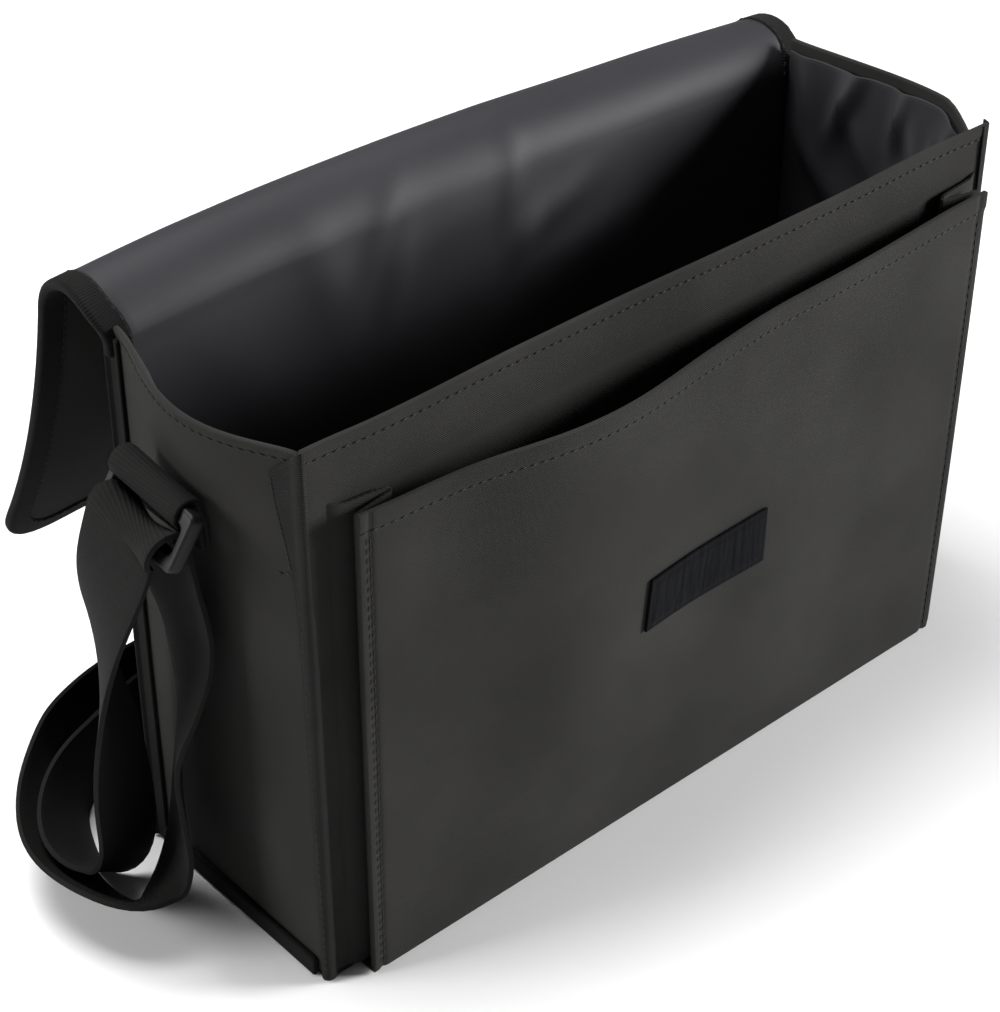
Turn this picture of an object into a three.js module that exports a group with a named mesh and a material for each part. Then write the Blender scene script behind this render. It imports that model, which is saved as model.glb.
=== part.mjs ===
// Soft projector carry case, standing open: a boxy bag of dark woven polyester with a grey
// lining. Its flap is thrown back over the rear, a bellows pocket sits on the front, and a
// webbing shoulder strap hangs from a ring on the left side and lies on the floor behind.
// Millimetres, +Z up. The front faces -Y and the origin is the middle of the base.

import * as THREE from 'three';

// Driving dimensions of the bag
const BAG_WIDTH = 340;
const BAG_DEPTH = 106;
const FRONT_HEIGHT = 241.5;
const SIDE_HEIGHT = 240;

// Thickness of the walls, and the clearance between sewn pieces
const CLOTH = 1.6;
const LINING = 1.0;
const GAP = 0.3;

// Sides: how far each one bows out at its top edge, how fast that grows with height, and
// how far its fullest line is shifted towards the front
const BOW_LEFT = 14.5;
const BOW_RIGHT = 10;
const BOW_GROWTH = 1.3;
const BOW_SHAPE = 1.5;
const BOW_SKEW_LEFT = 0.85;
const BOW_SKEW_RIGHT = 0.7;
const DIP_RIGHT = 12;
const DIP_REACH = 26;

// Back panel and flap: height where the roll starts, its radius, and the flap that hangs
// from it, leaning away from the bag towards its free end
const FOLD_Z = 236;
const FOLD_RADIUS = 17.5;
const FLAP_HANG = 159;
const FLAP_LEAN_TOP = 12;
const FLAP_LEAN_END = 33;
const FLAP_HALF_TOP = 178;
const FLAP_HALF_END = 173;
const FLAP_CORNER = 30;
const FOLD_DROP = [
  { x: -178, drop: 4 },
  { x: -130, drop: 1 },
  { x: -75, drop: 0 },
  { x: 10, drop: 2 },
  { x: 65, drop: 5.5 },
  { x: 120, drop: 9 },
  { x: 178, drop: 14 },
];

// Bindings: flat tape round the flap's edge, and the seam fins at the corners
const TAPE_WIDTH = 11;
const TAPE_THICKNESS = 4.2;
const TAPE_START = 25;
const FIN_THICKNESS = 2.4;
const FIN_STANDOFF = 0.4;
const FIN_FLOOR = 2.2;
const FINS = [
  { name: 'front_left', sideX: -1, sideY: -1, outX: -1, outY: -1, length: 9, top: FRONT_HEIGHT },
  { name: 'front_right', sideX: 1, sideY: -1, outX: 1, outY: 0, length: 6, top: FRONT_HEIGHT },
  { name: 'back_left', sideX: -1, sideY: 1, outX: -1, outY: 1, length: 5.5, top: 236 },
  { name: 'back_right', sideX: 1, sideY: 1, outX: 1, outY: 1, length: 5.5, top: 226 },
];
const BASE_TAPE_THICKNESS = 3.2;
const BASE_TAPE_HEIGHT = 6.5;
const BASE_TAPE_FLOOR = 0.5;
const BASE_TAPE_INSET = 3;

// Bellows pocket on the front: its edges stand off the front panel, and its mouth gapes
const POCKET_LEFT = -155;
const POCKET_RIGHT = 159;
const POCKET_STANDOFF = 9.5;
const POCKET_TOP_LEFT = 214;
const POCKET_TOP_RIGHT = 220;
const POCKET_BELLY = 2.2;
const POCKET_FLOOR = 0.4;
const POCKET_GAPE = [
  { x: -155, gape: 0 },
  { x: -110, gape: 5.5 },
  { x: -60, gape: 13.5 },
  { x: 0, gape: 9 },
  { x: 60, gape: 6 },
  { x: 110, gape: 3 },
  { x: 159, gape: 2 },
];
const PLEAT_CLOTH = 1.2;
const PLEAT_OUT = 10;
const PLEAT_IN = 18;
const PLEAT_BELOW_EDGE = 1.2;

// Hook-and-loop patches: one on the pocket, its mate on the flap's lining
const PATCH_WIDTH = 66;
const PATCH_HEIGHT = 26;
const PATCH_THICKNESS = 1.8;
const PATCH_X = 5;
const PATCH_Z = 115;
const HOOK_FROM_TAPE = 8;

// Webbing, and the ring that joins the strap to the tab on the left side
const WEB_WIDTH = 38;
const WEB_THICKNESS = 2;
const RING_LENGTH = 52;
const RING_BAR = 6;
const RING_CORNER = 4;
const RING_BEVEL = 1.2;
const RING_Y = 1;
const RING_TOP = { x: -189.5, z: 210 };
const RING_BOTTOM = { x: -199, z: 189 };
const WRAP_RADIUS = 5;
const SEWN_STANDOFF = 0.6;
const TAB_FOOT_Z = 165;
const TAB_BEND_Z = 197;

// Adjuster on the strap's hidden stretch
const ADJUSTER_LENGTH = 26;
const ADJUSTER_WIDTH = 48;
const ADJUSTER_THICKNESS = 4;
const ADJUSTER_SLOT = 5.5;
const ADJUSTER_BAR = 5;
const ADJUSTER_PLACE = { x: -50, y: 112, z: 24.4 };

// Middle of the strap and the direction across it, along its three stretches. The front
// strand falls outside the ring, the rear strand inside it. Both turn on the floor, stand on
// edge there and run behind the bag to the adjuster. The last stretch goes on to the right.
const FRONT_STRAND = [
  { x: -206, y: 8, z: 180, across: [0, -1, 0.1] },
  { x: -207.5, y: 15, z: 167, across: [-0.1, -0.98, 0.12] },
  { x: -207.5, y: 21, z: 150, across: [-0.3, -0.94, 0.1] },
  { x: -206.5, y: 26, z: 130, across: [-0.5, -0.86, 0] },
  { x: -204, y: 29, z: 110, across: [-0.62, -0.78, 0] },
  { x: -199, y: 34, z: 85, across: [-0.42, -0.88, 0.2] },
  { x: -194, y: 39, z: 55, across: [-0.1, -0.88, 0.46] },
  { x: -194, y: 38, z: 31, across: [-0.1, -0.82, 0.56] },
  { x: -199, y: 36, z: 20, across: [-0.3, -0.7, 0.65] },
  { x: -205, y: 41, z: 16, across: [-0.5, -0.5, 0.7] },
  { x: -208, y: 54, z: 16, across: [-0.62, -0.2, 0.75] },
  { x: -205, y: 69, z: 17.4, across: [-0.58, -0.05, 0.8] },
  { x: -195, y: 81, z: 19.2, across: [-0.3, 0.05, 0.95] },
  { x: -178, y: 90, z: 19.3, across: [0, 0, 1] },
  { x: -160, y: 97, z: 19.3, across: [0, 0, 1] },
  { x: -140, y: 103, z: 19.3, across: [0, 0, 1] },
  { x: -100, y: 105, z: 19.3, across: [0, 0, 1] },
  { x: -64, y: 106.6, z: 19.3, across: [0, 0, 1] },
  { x: -36, y: 106.6, z: 19.3, across: [0, 0, 1] },
];
const REAR_STRAND = [
  { x: -191, y: 0, z: 176, across: [0, -1, 0] },
  { x: -188, y: 0, z: 161, across: [0, -1, 0] },
  { x: -184.5, y: 1, z: 140, across: [-0.15, -0.99, 0] },
  { x: -185.5, y: 4, z: 115, across: [-0.4, -0.92, 0] },
  { x: -187.5, y: 7, z: 92, across: [-0.62, -0.78, 0] },
  { x: -187, y: 10, z: 62, across: [-0.5, -0.85, 0.1] },
  { x: -188, y: 11, z: 36, across: [-0.35, -0.75, 0.5] },
  { x: -194, y: 12, z: 20, across: [-0.25, -0.5, 0.83] },
  { x: -204, y: 11, z: 16.6, across: [-0.4, -0.5, 0.77] },
  { x: -211, y: 15, z: 15.3, across: [-0.5, -0.5, 0.7] },
  { x: -216, y: 27, z: 15.3, across: [-0.62, -0.35, 0.7] },
  { x: -218, y: 45, z: 15.3, across: [-0.7, -0.1, 0.7] },
  { x: -214, y: 62, z: 15.5, across: [-0.7, 0, 0.71] },
  { x: -206, y: 79, z: 17.5, across: [-0.5, 0.1, 0.85] },
  { x: -195, y: 95, z: 19.4, across: [-0.15, 0.1, 0.98] },
  { x: -180, y: 110, z: 19.3, across: [0, 0, 1] },
  { x: -155, y: 118, z: 19.3, across: [0, 0, 1] },
  { x: -128, y: 120, z: 19.3, across: [0, 0, 1] },
  { x: -95, y: 117, z: 19.3, across: [0, 0, 1] },
  { x: -65, y: 113.4, z: 19.3, across: [0, 0, 1] },
  { x: -44, y: 113.4, z: 19.3, across: [0, 0, 1] },
];
const RIGHT_STRETCH = [
  { x: 0, y: 108, z: 19.3, across: [0, 0, 1] },
  { x: 50, y: 110, z: 19.3, across: [0, 0, 1] },
  { x: 95, y: 109, z: 19.3, across: [0, 0, 1] },
  { x: 135, y: 104, z: 19.3, across: [0, 0, 1] },
  { x: 164, y: 93, z: 19.3, across: [0, 0, 1] },
  { x: 183, y: 76, z: 19.5, across: [0.1, 0.05, 0.99] },
  { x: 192, y: 56, z: 19.4, across: [0.2, 0, 0.97] },
  { x: 193, y: 38, z: 19.5, across: [0.2, -0.1, 0.95] },
  { x: 189, y: 24, z: 22, across: [0.2, -0.5, 0.83] },
  { x: 185, y: 16, z: 38, across: [0.35, -0.75, 0.5] },
  { x: 186, y: 11, z: 62, across: [0.5, -0.85, 0.1] },
  { x: 189, y: 7, z: 92, across: [0.62, -0.78, 0] },
  { x: 184, y: 4, z: 118, across: [0.35, -0.93, 0] },
  { x: 180, y: 1, z: 134, across: [0.1, -0.99, 0] },
];
const ANCHOR_Z = [152, 164, 176, 190, 204];

// Steps of the meshes
const STRAP_STEP = 9;
const WRAP_STEPS = 10;
const SIDE_STEPS = { columns: 12, rows: 7 };
const BACK_STEPS = { columns: 14, wall: 5, roll: 10, hang: 12 };
const POCKET_STEPS = { columns: 16, rows: 8 };
const PATCH_STEPS = { columns: 6, rows: 2 };
const CORNER_STEPS = 6;

// Finishes
const FINISHES = {
  cloth: { color: 0x3a3937, roughness: 0.9, metalness: 0 },
  lining: { color: 0x64646c, roughness: 0.45, metalness: 0 },
  tape: { color: 0x171717, roughness: 0.85, metalness: 0 },
  webbing: { color: 0x2b2b2a, roughness: 0.8, metalness: 0 },
  plastic: { color: 0x2a2a2b, roughness: 0.4, metalness: 0 },
  patch: { color: 0x15171c, roughness: 0.95, metalness: 0 },
};

const bag = new THREE.Group();

function addPiece(name, finish, geometry) {
  const mesh = new THREE.Mesh(geometry, new THREE.MeshStandardMaterial(FINISHES[finish]));
  mesh.name = name;
  bag.add(mesh);
  return mesh;
}

// Smooth value of one column of a table whose rows are sorted by x
function smoothColumn(rows, column) {
  const places = rows.map((row) => row.x);
  const values = rows.map((row) => row[column]);
  const spline = new THREE.CubicInterpolant(places, values, 1);
  return (x) => spline.evaluate(x)[0];
}

function closedBody(corners, triangles) {
  const geometry = new THREE.BufferGeometry();
  geometry.setAttribute('position', new THREE.Float32BufferAttribute(corners.flatMap((p) => p.toArray()), 3));
  geometry.setIndex(triangles);
  geometry.computeVertexNormals();
  return geometry;
}

// Unit normal of a surface given over u and v from 0 to 1
function surfaceNormal(surface, u, v) {
  const reach = 1e-3;
  const alongU = surface(Math.min(u + reach, 1), v).sub(surface(Math.max(u - reach, 0), v));
  const alongV = surface(u, Math.min(v + reach, 1)).sub(surface(u, Math.max(v - reach, 0)));
  return alongU.cross(alongV).normalize();
}

// Closed wall between two offsets from a surface, counted along one direction or else
// along the surface's normal
function thickSheet(surface, columnPlaces, rowPlaces, low, high, direction) {
  const corners = [];
  const triangles = [];
  const across = columnPlaces.length;
  const layer = across * rowPlaces.length;
  for (const offset of [low, high]) {
    for (const v of rowPlaces) {
      for (const u of columnPlaces) {
        corners.push(surface(u, v).addScaledVector(direction ?? surfaceNormal(surface, u, v), offset));
      }
    }
  }
  const quad = (a, b, c, d) => triangles.push(a, b, c, a, c, d);
  for (let j = 0; j + 1 < rowPlaces.length; j += 1) {
    for (let i = 0; i + 1 < across; i += 1) {
      const at = j * across + i;
      quad(at, at + across, at + across + 1, at + 1);
      quad(layer + at, layer + at + 1, layer + at + across + 1, layer + at + across);
    }
  }
  const rim = [];
  const lastRow = layer - across;
  for (let i = 0; i + 1 < across; i += 1) rim.push(i);
  for (let at = across - 1; at < layer - 1; at += across) rim.push(at);
  for (let i = across - 1; i > 0; i -= 1) rim.push(lastRow + i);
  for (let at = lastRow; at > 0; at -= across) rim.push(at);
  rim.forEach((a, k) => {
    const b = rim[(k + 1) % rim.length];
    quad(layer + b, layer + a, a, b);
  });
  return closedBody(corners, triangles);
}

function evenPlaces(steps) {
  return Array.from({ length: steps + 1 }, (unused, i) => i / steps);
}

// Flat band of one width and thickness along a table of middles and directions across
function band(rows, width, thickness, step) {
  const middles = rows.map((row) => new THREE.Vector3(row.x, row.y, row.z));
  const middle = new THREE.CatmullRomCurve3(middles);
  const side = new THREE.CatmullRomCurve3(rows.map((row) => new THREE.Vector3(...row.across)));
  const stations = [0];
  for (let k = 0; k + 1 < rows.length; k += 1) {
    const parts = Math.max(1, Math.round(middles[k].distanceTo(middles[k + 1]) / step));
    for (let i = 1; i <= parts; i += 1) stations.push((k + i / parts) / (rows.length - 1));
  }
  const corners = [];
  const triangles = [];
  for (const t of stations) {
    const along = middle.getTangent(t);
    const across = side.getPoint(t).addScaledVector(along, -side.getPoint(t).dot(along)).normalize();
    const out = along.clone().cross(across);
    for (const [a, b] of [[1, 1], [-1, 1], [-1, -1], [1, -1]]) {
      const corner = middle.getPoint(t).addScaledVector(across, a * width / 2);
      corners.push(corner.addScaledVector(out, b * thickness / 2));
    }
  }
  for (let k = 0; k + 1 < stations.length; k += 1) {
    for (let i = 0; i < 4; i += 1) {
      const a = 4 * k + i;
      const b = 4 * k + (i + 1) % 4;
      triangles.push(a, b, b + 4, a, b + 4, a + 4);
    }
  }
  const end = corners.length - 4;
  triangles.push(0, 2, 1, 0, 3, 2, end, end + 1, end + 2, end, end + 2, end + 3);
  return closedBody(corners, triangles);
}

function upright(outline, low, high) {
  const shape = new THREE.Shape(outline.map(([x, y]) => new THREE.Vector2(x, y)));
  const geometry = new THREE.ExtrudeGeometry(shape, { depth: high - low, bevelEnabled: false });
  return geometry.translate(0, 0, low);
}

// Outline of a strip of even thickness along a bent line
function stripOutline(line, thickness) {
  const points = line.map(([x, y]) => new THREE.Vector2(x, y));
  const offsets = points.map((point, k) => {
    const before = points[Math.max(k - 1, 0)];
    const after = points[Math.min(k + 1, points.length - 1)];
    const run = after.clone().sub(before).normalize();
    const first = k > 0 ? point.clone().sub(before).normalize() : run;
    const stretch = 1 / Math.max(first.dot(run), 0.5);
    return new THREE.Vector2(-run.y, run.x).multiplyScalar(stretch * thickness / 2);
  });
  const left = points.map((point, k) => point.clone().add(offsets[k]).toArray());
  const right = points.map((point, k) => point.clone().sub(offsets[k]).toArray());
  return [...left, ...right.reverse()];
}

// Front, base and their linings: flat walls that lie inside each other's edges
const FRONT_Y = -BAG_DEPTH / 2;
const BACK_Y = BAG_DEPTH / 2 - CLOTH;
const WALL_FLOOR = CLOTH + GAP;
const LINING_FLOOR = WALL_FLOOR + LINING + GAP;
const SIDE_Y = BAG_DEPTH / 2 - CLOTH - GAP;
const SIDE_LINING_Y = SIDE_Y - LINING - GAP;
const LINING_HALF = BAG_WIDTH / 2 - CLOTH - 2 * GAP;
const HEM = 9;

function slab(name, finish, low, high) {
  const size = new THREE.Vector3().subVectors(high, low);
  const middle = new THREE.Vector3().addVectors(high, low).divideScalar(2);
  const geometry = new THREE.BoxGeometry(size.x, size.y, size.z).translate(...middle);
  return addPiece(name, finish, geometry);
}

slab(
  'base_panel',
  'cloth',
  new THREE.Vector3(-BAG_WIDTH / 2, FRONT_Y, 0),
  new THREE.Vector3(BAG_WIDTH / 2, -FRONT_Y, CLOTH),
);
slab(
  'base_lining',
  'lining',
  new THREE.Vector3(-LINING_HALF, -SIDE_Y, WALL_FLOOR),
  new THREE.Vector3(LINING_HALF, SIDE_Y, WALL_FLOOR + LINING),
);
slab(
  'front_panel',
  'cloth',
  new THREE.Vector3(-BAG_WIDTH / 2, FRONT_Y, WALL_FLOOR),
  new THREE.Vector3(BAG_WIDTH / 2, FRONT_Y + CLOTH, FRONT_HEIGHT),
);
slab(
  'front_lining',
  'lining',
  new THREE.Vector3(-LINING_HALF, -SIDE_Y, LINING_FLOOR),
  new THREE.Vector3(LINING_HALF, -SIDE_Y + LINING, FRONT_HEIGHT - HEM),
);

// Sides: full in the middle of the top edge, straight along the seams
function sideBow(side, y, z) {
  const bow = side < 0 ? BOW_LEFT : BOW_RIGHT;
  const skew = side < 0 ? BOW_SKEW_LEFT : BOW_SKEW_RIGHT;
  const place = THREE.MathUtils.clamp((y + SIDE_Y) / (2 * SIDE_Y), 0, 1) ** skew;
  return bow * Math.sin(Math.PI * place) ** BOW_SHAPE * (z / SIDE_HEIGHT) ** BOW_GROWTH;
}

function sideSurface(side, halfDepth, low, high) {
  return (u, v) => {
    const y = side * (2 * u - 1) * halfDepth;
    const dip = side < 0 ? 0 : DIP_RIGHT * (1 - THREE.MathUtils.smoothstep(y, -SIDE_Y, DIP_REACH - SIDE_Y));
    const z = low + v * (high - dip - low);
    return new THREE.Vector3(side * (BAG_WIDTH / 2 - CLOTH + sideBow(side, y, z)), y, z);
  };
}

for (const [name, side] of [['left', -1], ['right', 1]]) {
  const places = [evenPlaces(SIDE_STEPS.columns), evenPlaces(SIDE_STEPS.rows)];
  const outer = sideSurface(side, SIDE_Y, WALL_FLOOR, SIDE_HEIGHT);
  const inner = sideSurface(side, SIDE_LINING_Y, LINING_FLOOR, SIDE_HEIGHT - HEM);
  const out = new THREE.Vector3(side, 0, 0);
  addPiece(`side_${name}`, 'cloth', thickSheet(outer, ...places, 0, CLOTH, out));
  addPiece(`side_lining_${name}`, 'lining', thickSheet(inner, ...places, -GAP - LINING, -GAP, out));
}

// Back panel and flap in one sheet, measured along it from the bottom of the back
const WALL_RUN = FOLD_Z - WALL_FLOOR;
const LEAN_TOP = THREE.MathUtils.degToRad(FLAP_LEAN_TOP);
const LEAN_END = THREE.MathUtils.degToRad(FLAP_LEAN_END);
const ROLL_ANGLE = Math.PI - LEAN_TOP;
const ROLL_RUN = FOLD_RADIUS * ROLL_ANGLE;
const HANG_START = WALL_RUN + ROLL_RUN;
const SHEET_RUN = HANG_START + FLAP_HANG - TAPE_WIDTH - GAP;
const foldDrop = smoothColumn(FOLD_DROP, 'drop');

function backProfile(run) {
  if (run <= WALL_RUN) return { y: BACK_Y, z: WALL_FLOOR + run };
  const turn = Math.min((run - WALL_RUN) / FOLD_RADIUS, ROLL_ANGLE);
  const roll = {
    y: BACK_Y + FOLD_RADIUS * (1 - Math.cos(turn)),
    z: FOLD_Z + FOLD_RADIUS * Math.sin(turn),
  };
  if (run <= HANG_START) return roll;
  const bend = (LEAN_END - LEAN_TOP) / FLAP_HANG;
  const lean = LEAN_TOP + bend * (run - HANG_START);
  return {
    y: roll.y + (Math.cos(LEAN_TOP) - Math.cos(lean)) / bend,
    z: roll.z - (Math.sin(lean) - Math.sin(LEAN_TOP)) / bend,
  };
}

function backPoint(x, run) {
  const { y, z } = backProfile(run);
  const settled = THREE.MathUtils.smoothstep(run, WALL_RUN / 2, WALL_RUN + ROLL_RUN / 2);
  return new THREE.Vector3(x, y, z - settled * foldDrop(x));
}

// Half width of the flap to the outside of its binding, at a place along the sheet
function flapHalf(run) {
  const down = THREE.MathUtils.clamp((run - HANG_START) / FLAP_HANG, 0, 1);
  return FLAP_HALF_TOP + (FLAP_HALF_END - FLAP_HALF_TOP) * down;
}

function sheetHalf(run, wallHalf) {
  const blend = THREE.MathUtils.smoothstep(run, WALL_RUN - FLAP_CORNER, WALL_RUN);
  const edge = wallHalf + (flapHalf(run) - TAPE_WIDTH - GAP - wallHalf) * blend;
  const corner = FLAP_CORNER - TAPE_WIDTH - GAP;
  const into = Math.max(run - (SHEET_RUN - corner), 0);
  return edge - corner + Math.sqrt(Math.max(corner ** 2 - into ** 2, 0));
}

function backSurface(wallHalf, lowRun) {
  return (u, v) => {
    const run = lowRun + v * (SHEET_RUN - lowRun);
    return backPoint((2 * u - 1) * sheetHalf(run, wallHalf), run);
  };
}

// Rows close together round the roll and the lower corners, wide apart elsewhere
function backPlaces(lowRun) {
  const cornerRun = SHEET_RUN - (FLAP_CORNER - TAPE_WIDTH);
  const stretches = [
    [lowRun, WALL_RUN, BACK_STEPS.wall],
    [WALL_RUN, HANG_START, BACK_STEPS.roll],
    [HANG_START, cornerRun, BACK_STEPS.hang],
    [cornerRun, SHEET_RUN, CORNER_STEPS],
  ];
  const runs = stretches.flatMap(([from, to, steps]) => (
    evenPlaces(steps).slice(0, -1).map((share) => from + share * (to - from))
  ));
  return [...runs, SHEET_RUN].map((run) => (run - lowRun) / (SHEET_RUN - lowRun));
}

const backColumns = evenPlaces(BACK_STEPS.columns);
const backRun = { cloth: 0, lining: LINING_FLOOR - WALL_FLOOR };
addPiece('back_flap_panel', 'cloth', thickSheet(
  backSurface(BAG_WIDTH / 2, backRun.cloth),
  backColumns,
  backPlaces(backRun.cloth),
  -CLOTH,
  0,
));
addPiece('back_flap_lining', 'lining', thickSheet(
  backSurface(LINING_HALF, backRun.lining),
  backColumns,
  backPlaces(backRun.lining),
  GAP,
  GAP + LINING,
));

// Binding round the flap: over both ends of the roll, down the edges and along the bottom
function flapBindingRows() {
  const middleOffset = (GAP + LINING - CLOTH) / 2;
  const startRun = WALL_RUN + FOLD_RADIUS * THREE.MathUtils.degToRad(TAPE_START);
  const endRun = HANG_START + FLAP_HANG - TAPE_WIDTH / 2;
  const corner = FLAP_CORNER - TAPE_WIDTH / 2;
  const bendRun = endRun - corner;
  const path = [];
  const edge = (run) => flapHalf(run) - TAPE_WIDTH / 2;
  for (const share of evenPlaces(BACK_STEPS.roll)) {
    const run = startRun + share * (HANG_START - startRun);
    path.push({ x: -edge(run), run, turn: 0 });
  }
  for (const share of evenPlaces(BACK_STEPS.hang).slice(1)) {
    const run = HANG_START + share * (bendRun - HANG_START);
    path.push({ x: -edge(run), run, turn: 0 });
  }
  for (const share of evenPlaces(CORNER_STEPS).slice(1)) {
    const turn = share * Math.PI / 2;
    const x = -edge(bendRun) + corner * (1 - Math.cos(turn));
    path.push({ x, run: bendRun + corner * Math.sin(turn), turn });
  }
  const mirrored = path.map(({ x, run, turn }) => ({ x: -x, run, turn: Math.PI - turn })).reverse();
  return [...path, ...bottomEdge(path.at(-1)), ...mirrored].map(({ x, run, turn }) => {
    const reach = 0.5;
    const down = backPoint(x, run + reach).sub(backPoint(x, run - reach)).normalize();
    const level = backPoint(x + reach, run).sub(backPoint(x - reach, run)).normalize();
    const inward = level.clone().cross(down);
    const place = backPoint(x, run).addScaledVector(inward, middleOffset);
    const across = level.multiplyScalar(-Math.cos(turn)).addScaledVector(down, Math.sin(turn));
    return { x: place.x, y: place.y, z: place.z, across: across.toArray() };
  });
}

function bottomEdge(from) {
  const steps = BACK_STEPS.columns;
  return evenPlaces(steps).slice(1, -1).map((share) => (
    { x: from.x * (1 - 2 * share), run: from.run, turn: Math.PI / 2 }
  ));
}

addPiece('flap_binding', 'tape', band(flapBindingRows(), TAPE_WIDTH, TAPE_THICKNESS, FLAP_CORNER));

// Bound seam fins at the four upright corners
function finOutline({ sideX, sideY, outX, outY, length }) {
  const out = new THREE.Vector2(outX, outY).normalize();
  const thick = new THREE.Vector2(-out.y, out.x);
  const corner = new THREE.Vector2(sideX * BAG_WIDTH / 2, sideY * BAG_DEPTH / 2);
  const tip = FIN_THICKNESS / 4;
  const section = [
    [FIN_STANDOFF, -FIN_THICKNESS / 2],
    [length - tip, -FIN_THICKNESS / 2],
    [length, -tip],
    [length, tip],
    [length - tip, FIN_THICKNESS / 2],
    [FIN_STANDOFF, FIN_THICKNESS / 2],
  ];
  return section.map(([reach, side]) => (
    corner.clone().addScaledVector(out, reach).addScaledVector(thick, side).toArray()
  ));
}

for (const fin of FINS) {
  addPiece(`corner_binding_${fin.name}`, 'tape', upright(finOutline(fin), FIN_FLOOR, fin.top));
}

// Binding along the foot of each side
for (const [name, side] of [['left', -1], ['right', 1]]) {
  const inner = side * (BAG_WIDTH / 2 + FIN_STANDOFF);
  const outer = inner + side * BASE_TAPE_THICKNESS;
  const reach = SIDE_Y - BASE_TAPE_INSET;
  slab(
    `base_binding_${name}`,
    'tape',
    new THREE.Vector3(Math.min(inner, outer), -reach, BASE_TAPE_FLOOR),
    new THREE.Vector3(Math.max(inner, outer), reach, BASE_TAPE_FLOOR + BASE_TAPE_HEIGHT),
  );
}

// Pocket: a soft panel that stands off the front, fullest left of its middle, with a foot
// that runs back under it to the front panel
const pocketGape = smoothColumn(POCKET_GAPE, 'gape');
const POCKET_FOOT = 0.04;

function pocketTop(x) {
  const share = (x - POCKET_LEFT) / (POCKET_RIGHT - POCKET_LEFT);
  return POCKET_TOP_LEFT + (POCKET_TOP_RIGHT - POCKET_TOP_LEFT) * share;
}

function pocketFace(x, share) {
  const fullness = 1 - (1 - share) ** POCKET_BELLY;
  const z = POCKET_FLOOR + CLOTH + share * (pocketTop(x) - POCKET_FLOOR - CLOTH);
  return new THREE.Vector3(x, FRONT_Y - POCKET_STANDOFF + CLOTH - fullness * pocketGape(x), z);
}

function pocketSurface(u, v) {
  const x = POCKET_LEFT + u * (POCKET_RIGHT - POCKET_LEFT);
  if (v >= POCKET_FOOT) return pocketFace(x, (v - POCKET_FOOT) / (1 - POCKET_FOOT));
  const foot = pocketFace(x, 0);
  foot.y += (1 - v / POCKET_FOOT) * (POCKET_STANDOFF - CLOTH - GAP);
  return foot;
}

const pocketColumns = evenPlaces(POCKET_STEPS.columns);
const pocketRows = evenPlaces(POCKET_STEPS.rows).map((share) => POCKET_FOOT + share * (1 - POCKET_FOOT));
addPiece('pocket_panel', 'cloth', thickSheet(pocketSurface, pocketColumns, [0, ...pocketRows], 0, CLOTH));

// Bellows that join the pocket's upright edges to the front panel, each pleated once
for (const [name, side, edge, top] of [
  ['left', -1, POCKET_LEFT, POCKET_TOP_LEFT],
  ['right', 1, POCKET_RIGHT, POCKET_TOP_RIGHT],
]) {
  const half = PLEAT_CLOTH / 2;
  const againstFront = FRONT_Y - GAP - half;
  const againstPocket = FRONT_Y - POCKET_STANDOFF + CLOTH + GAP + half;
  const fold = (againstFront + againstPocket) / 2;
  const tip = edge - side * PLEAT_IN;
  const line = [
    [edge + side * PLEAT_OUT, againstFront],
    [tip + side * PLEAT_CLOTH, fold + PLEAT_CLOTH],
    [tip, fold],
    [tip + side * PLEAT_CLOTH, fold - PLEAT_CLOTH],
    [edge - side * half, againstPocket],
  ];
  const outline = stripOutline(line, PLEAT_CLOTH);
  const foot = POCKET_FLOOR + CLOTH + GAP;
  addPiece(`pocket_bellows_${name}`, 'cloth', upright(outline, foot, top - PLEAT_BELOW_EDGE));
}

// Hook-and-loop patches
function pocketPatchSurface(u, v) {
  const x = PATCH_X + (u - 0.5) * PATCH_WIDTH;
  const z = PATCH_Z + (v - 0.5) * PATCH_HEIGHT;
  return pocketFace(x, z / pocketTop(x));
}

function flapPatchSurface(u, v) {
  const x = PATCH_X + (u - 0.5) * PATCH_WIDTH;
  return backPoint(x, SHEET_RUN - HOOK_FROM_TAPE - (1 - v) * PATCH_HEIGHT);
}

const patchPlaces = [evenPlaces(PATCH_STEPS.columns), evenPlaces(PATCH_STEPS.rows)];
const pocketPatchLow = CLOTH + GAP;
const flapPatchLow = GAP + LINING + GAP;
addPiece('loop_patch', 'patch', thickSheet(
  pocketPatchSurface,
  ...patchPlaces,
  pocketPatchLow,
  pocketPatchLow + PATCH_THICKNESS,
));
addPiece('hook_patch', 'patch', thickSheet(
  flapPatchSurface,
  ...patchPlaces,
  flapPatchLow,
  flapPatchLow + PATCH_THICKNESS,
));

// Ring: a rounded rectangular loop that hangs from the tab with its foot swung out
function roundedRectangle(path, width, height, radius) {
  const x = width / 2;
  const y = height / 2;
  path.moveTo(-x + radius, -y);
  path.lineTo(x - radius, -y);
  path.absarc(x - radius, -y + radius, radius, -Math.PI / 2, 0);
  path.lineTo(x, y - radius);
  path.absarc(x - radius, y - radius, radius, 0, Math.PI / 2);
  path.lineTo(-x + radius, y);
  path.absarc(-x + radius, y - radius, radius, Math.PI / 2, Math.PI);
  path.lineTo(-x, -y + radius);
  path.absarc(-x + radius, -y + radius, radius, Math.PI, 3 * Math.PI / 2);
  return path;
}

const ringRise = { x: RING_TOP.x - RING_BOTTOM.x, z: RING_TOP.z - RING_BOTTOM.z };

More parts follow.
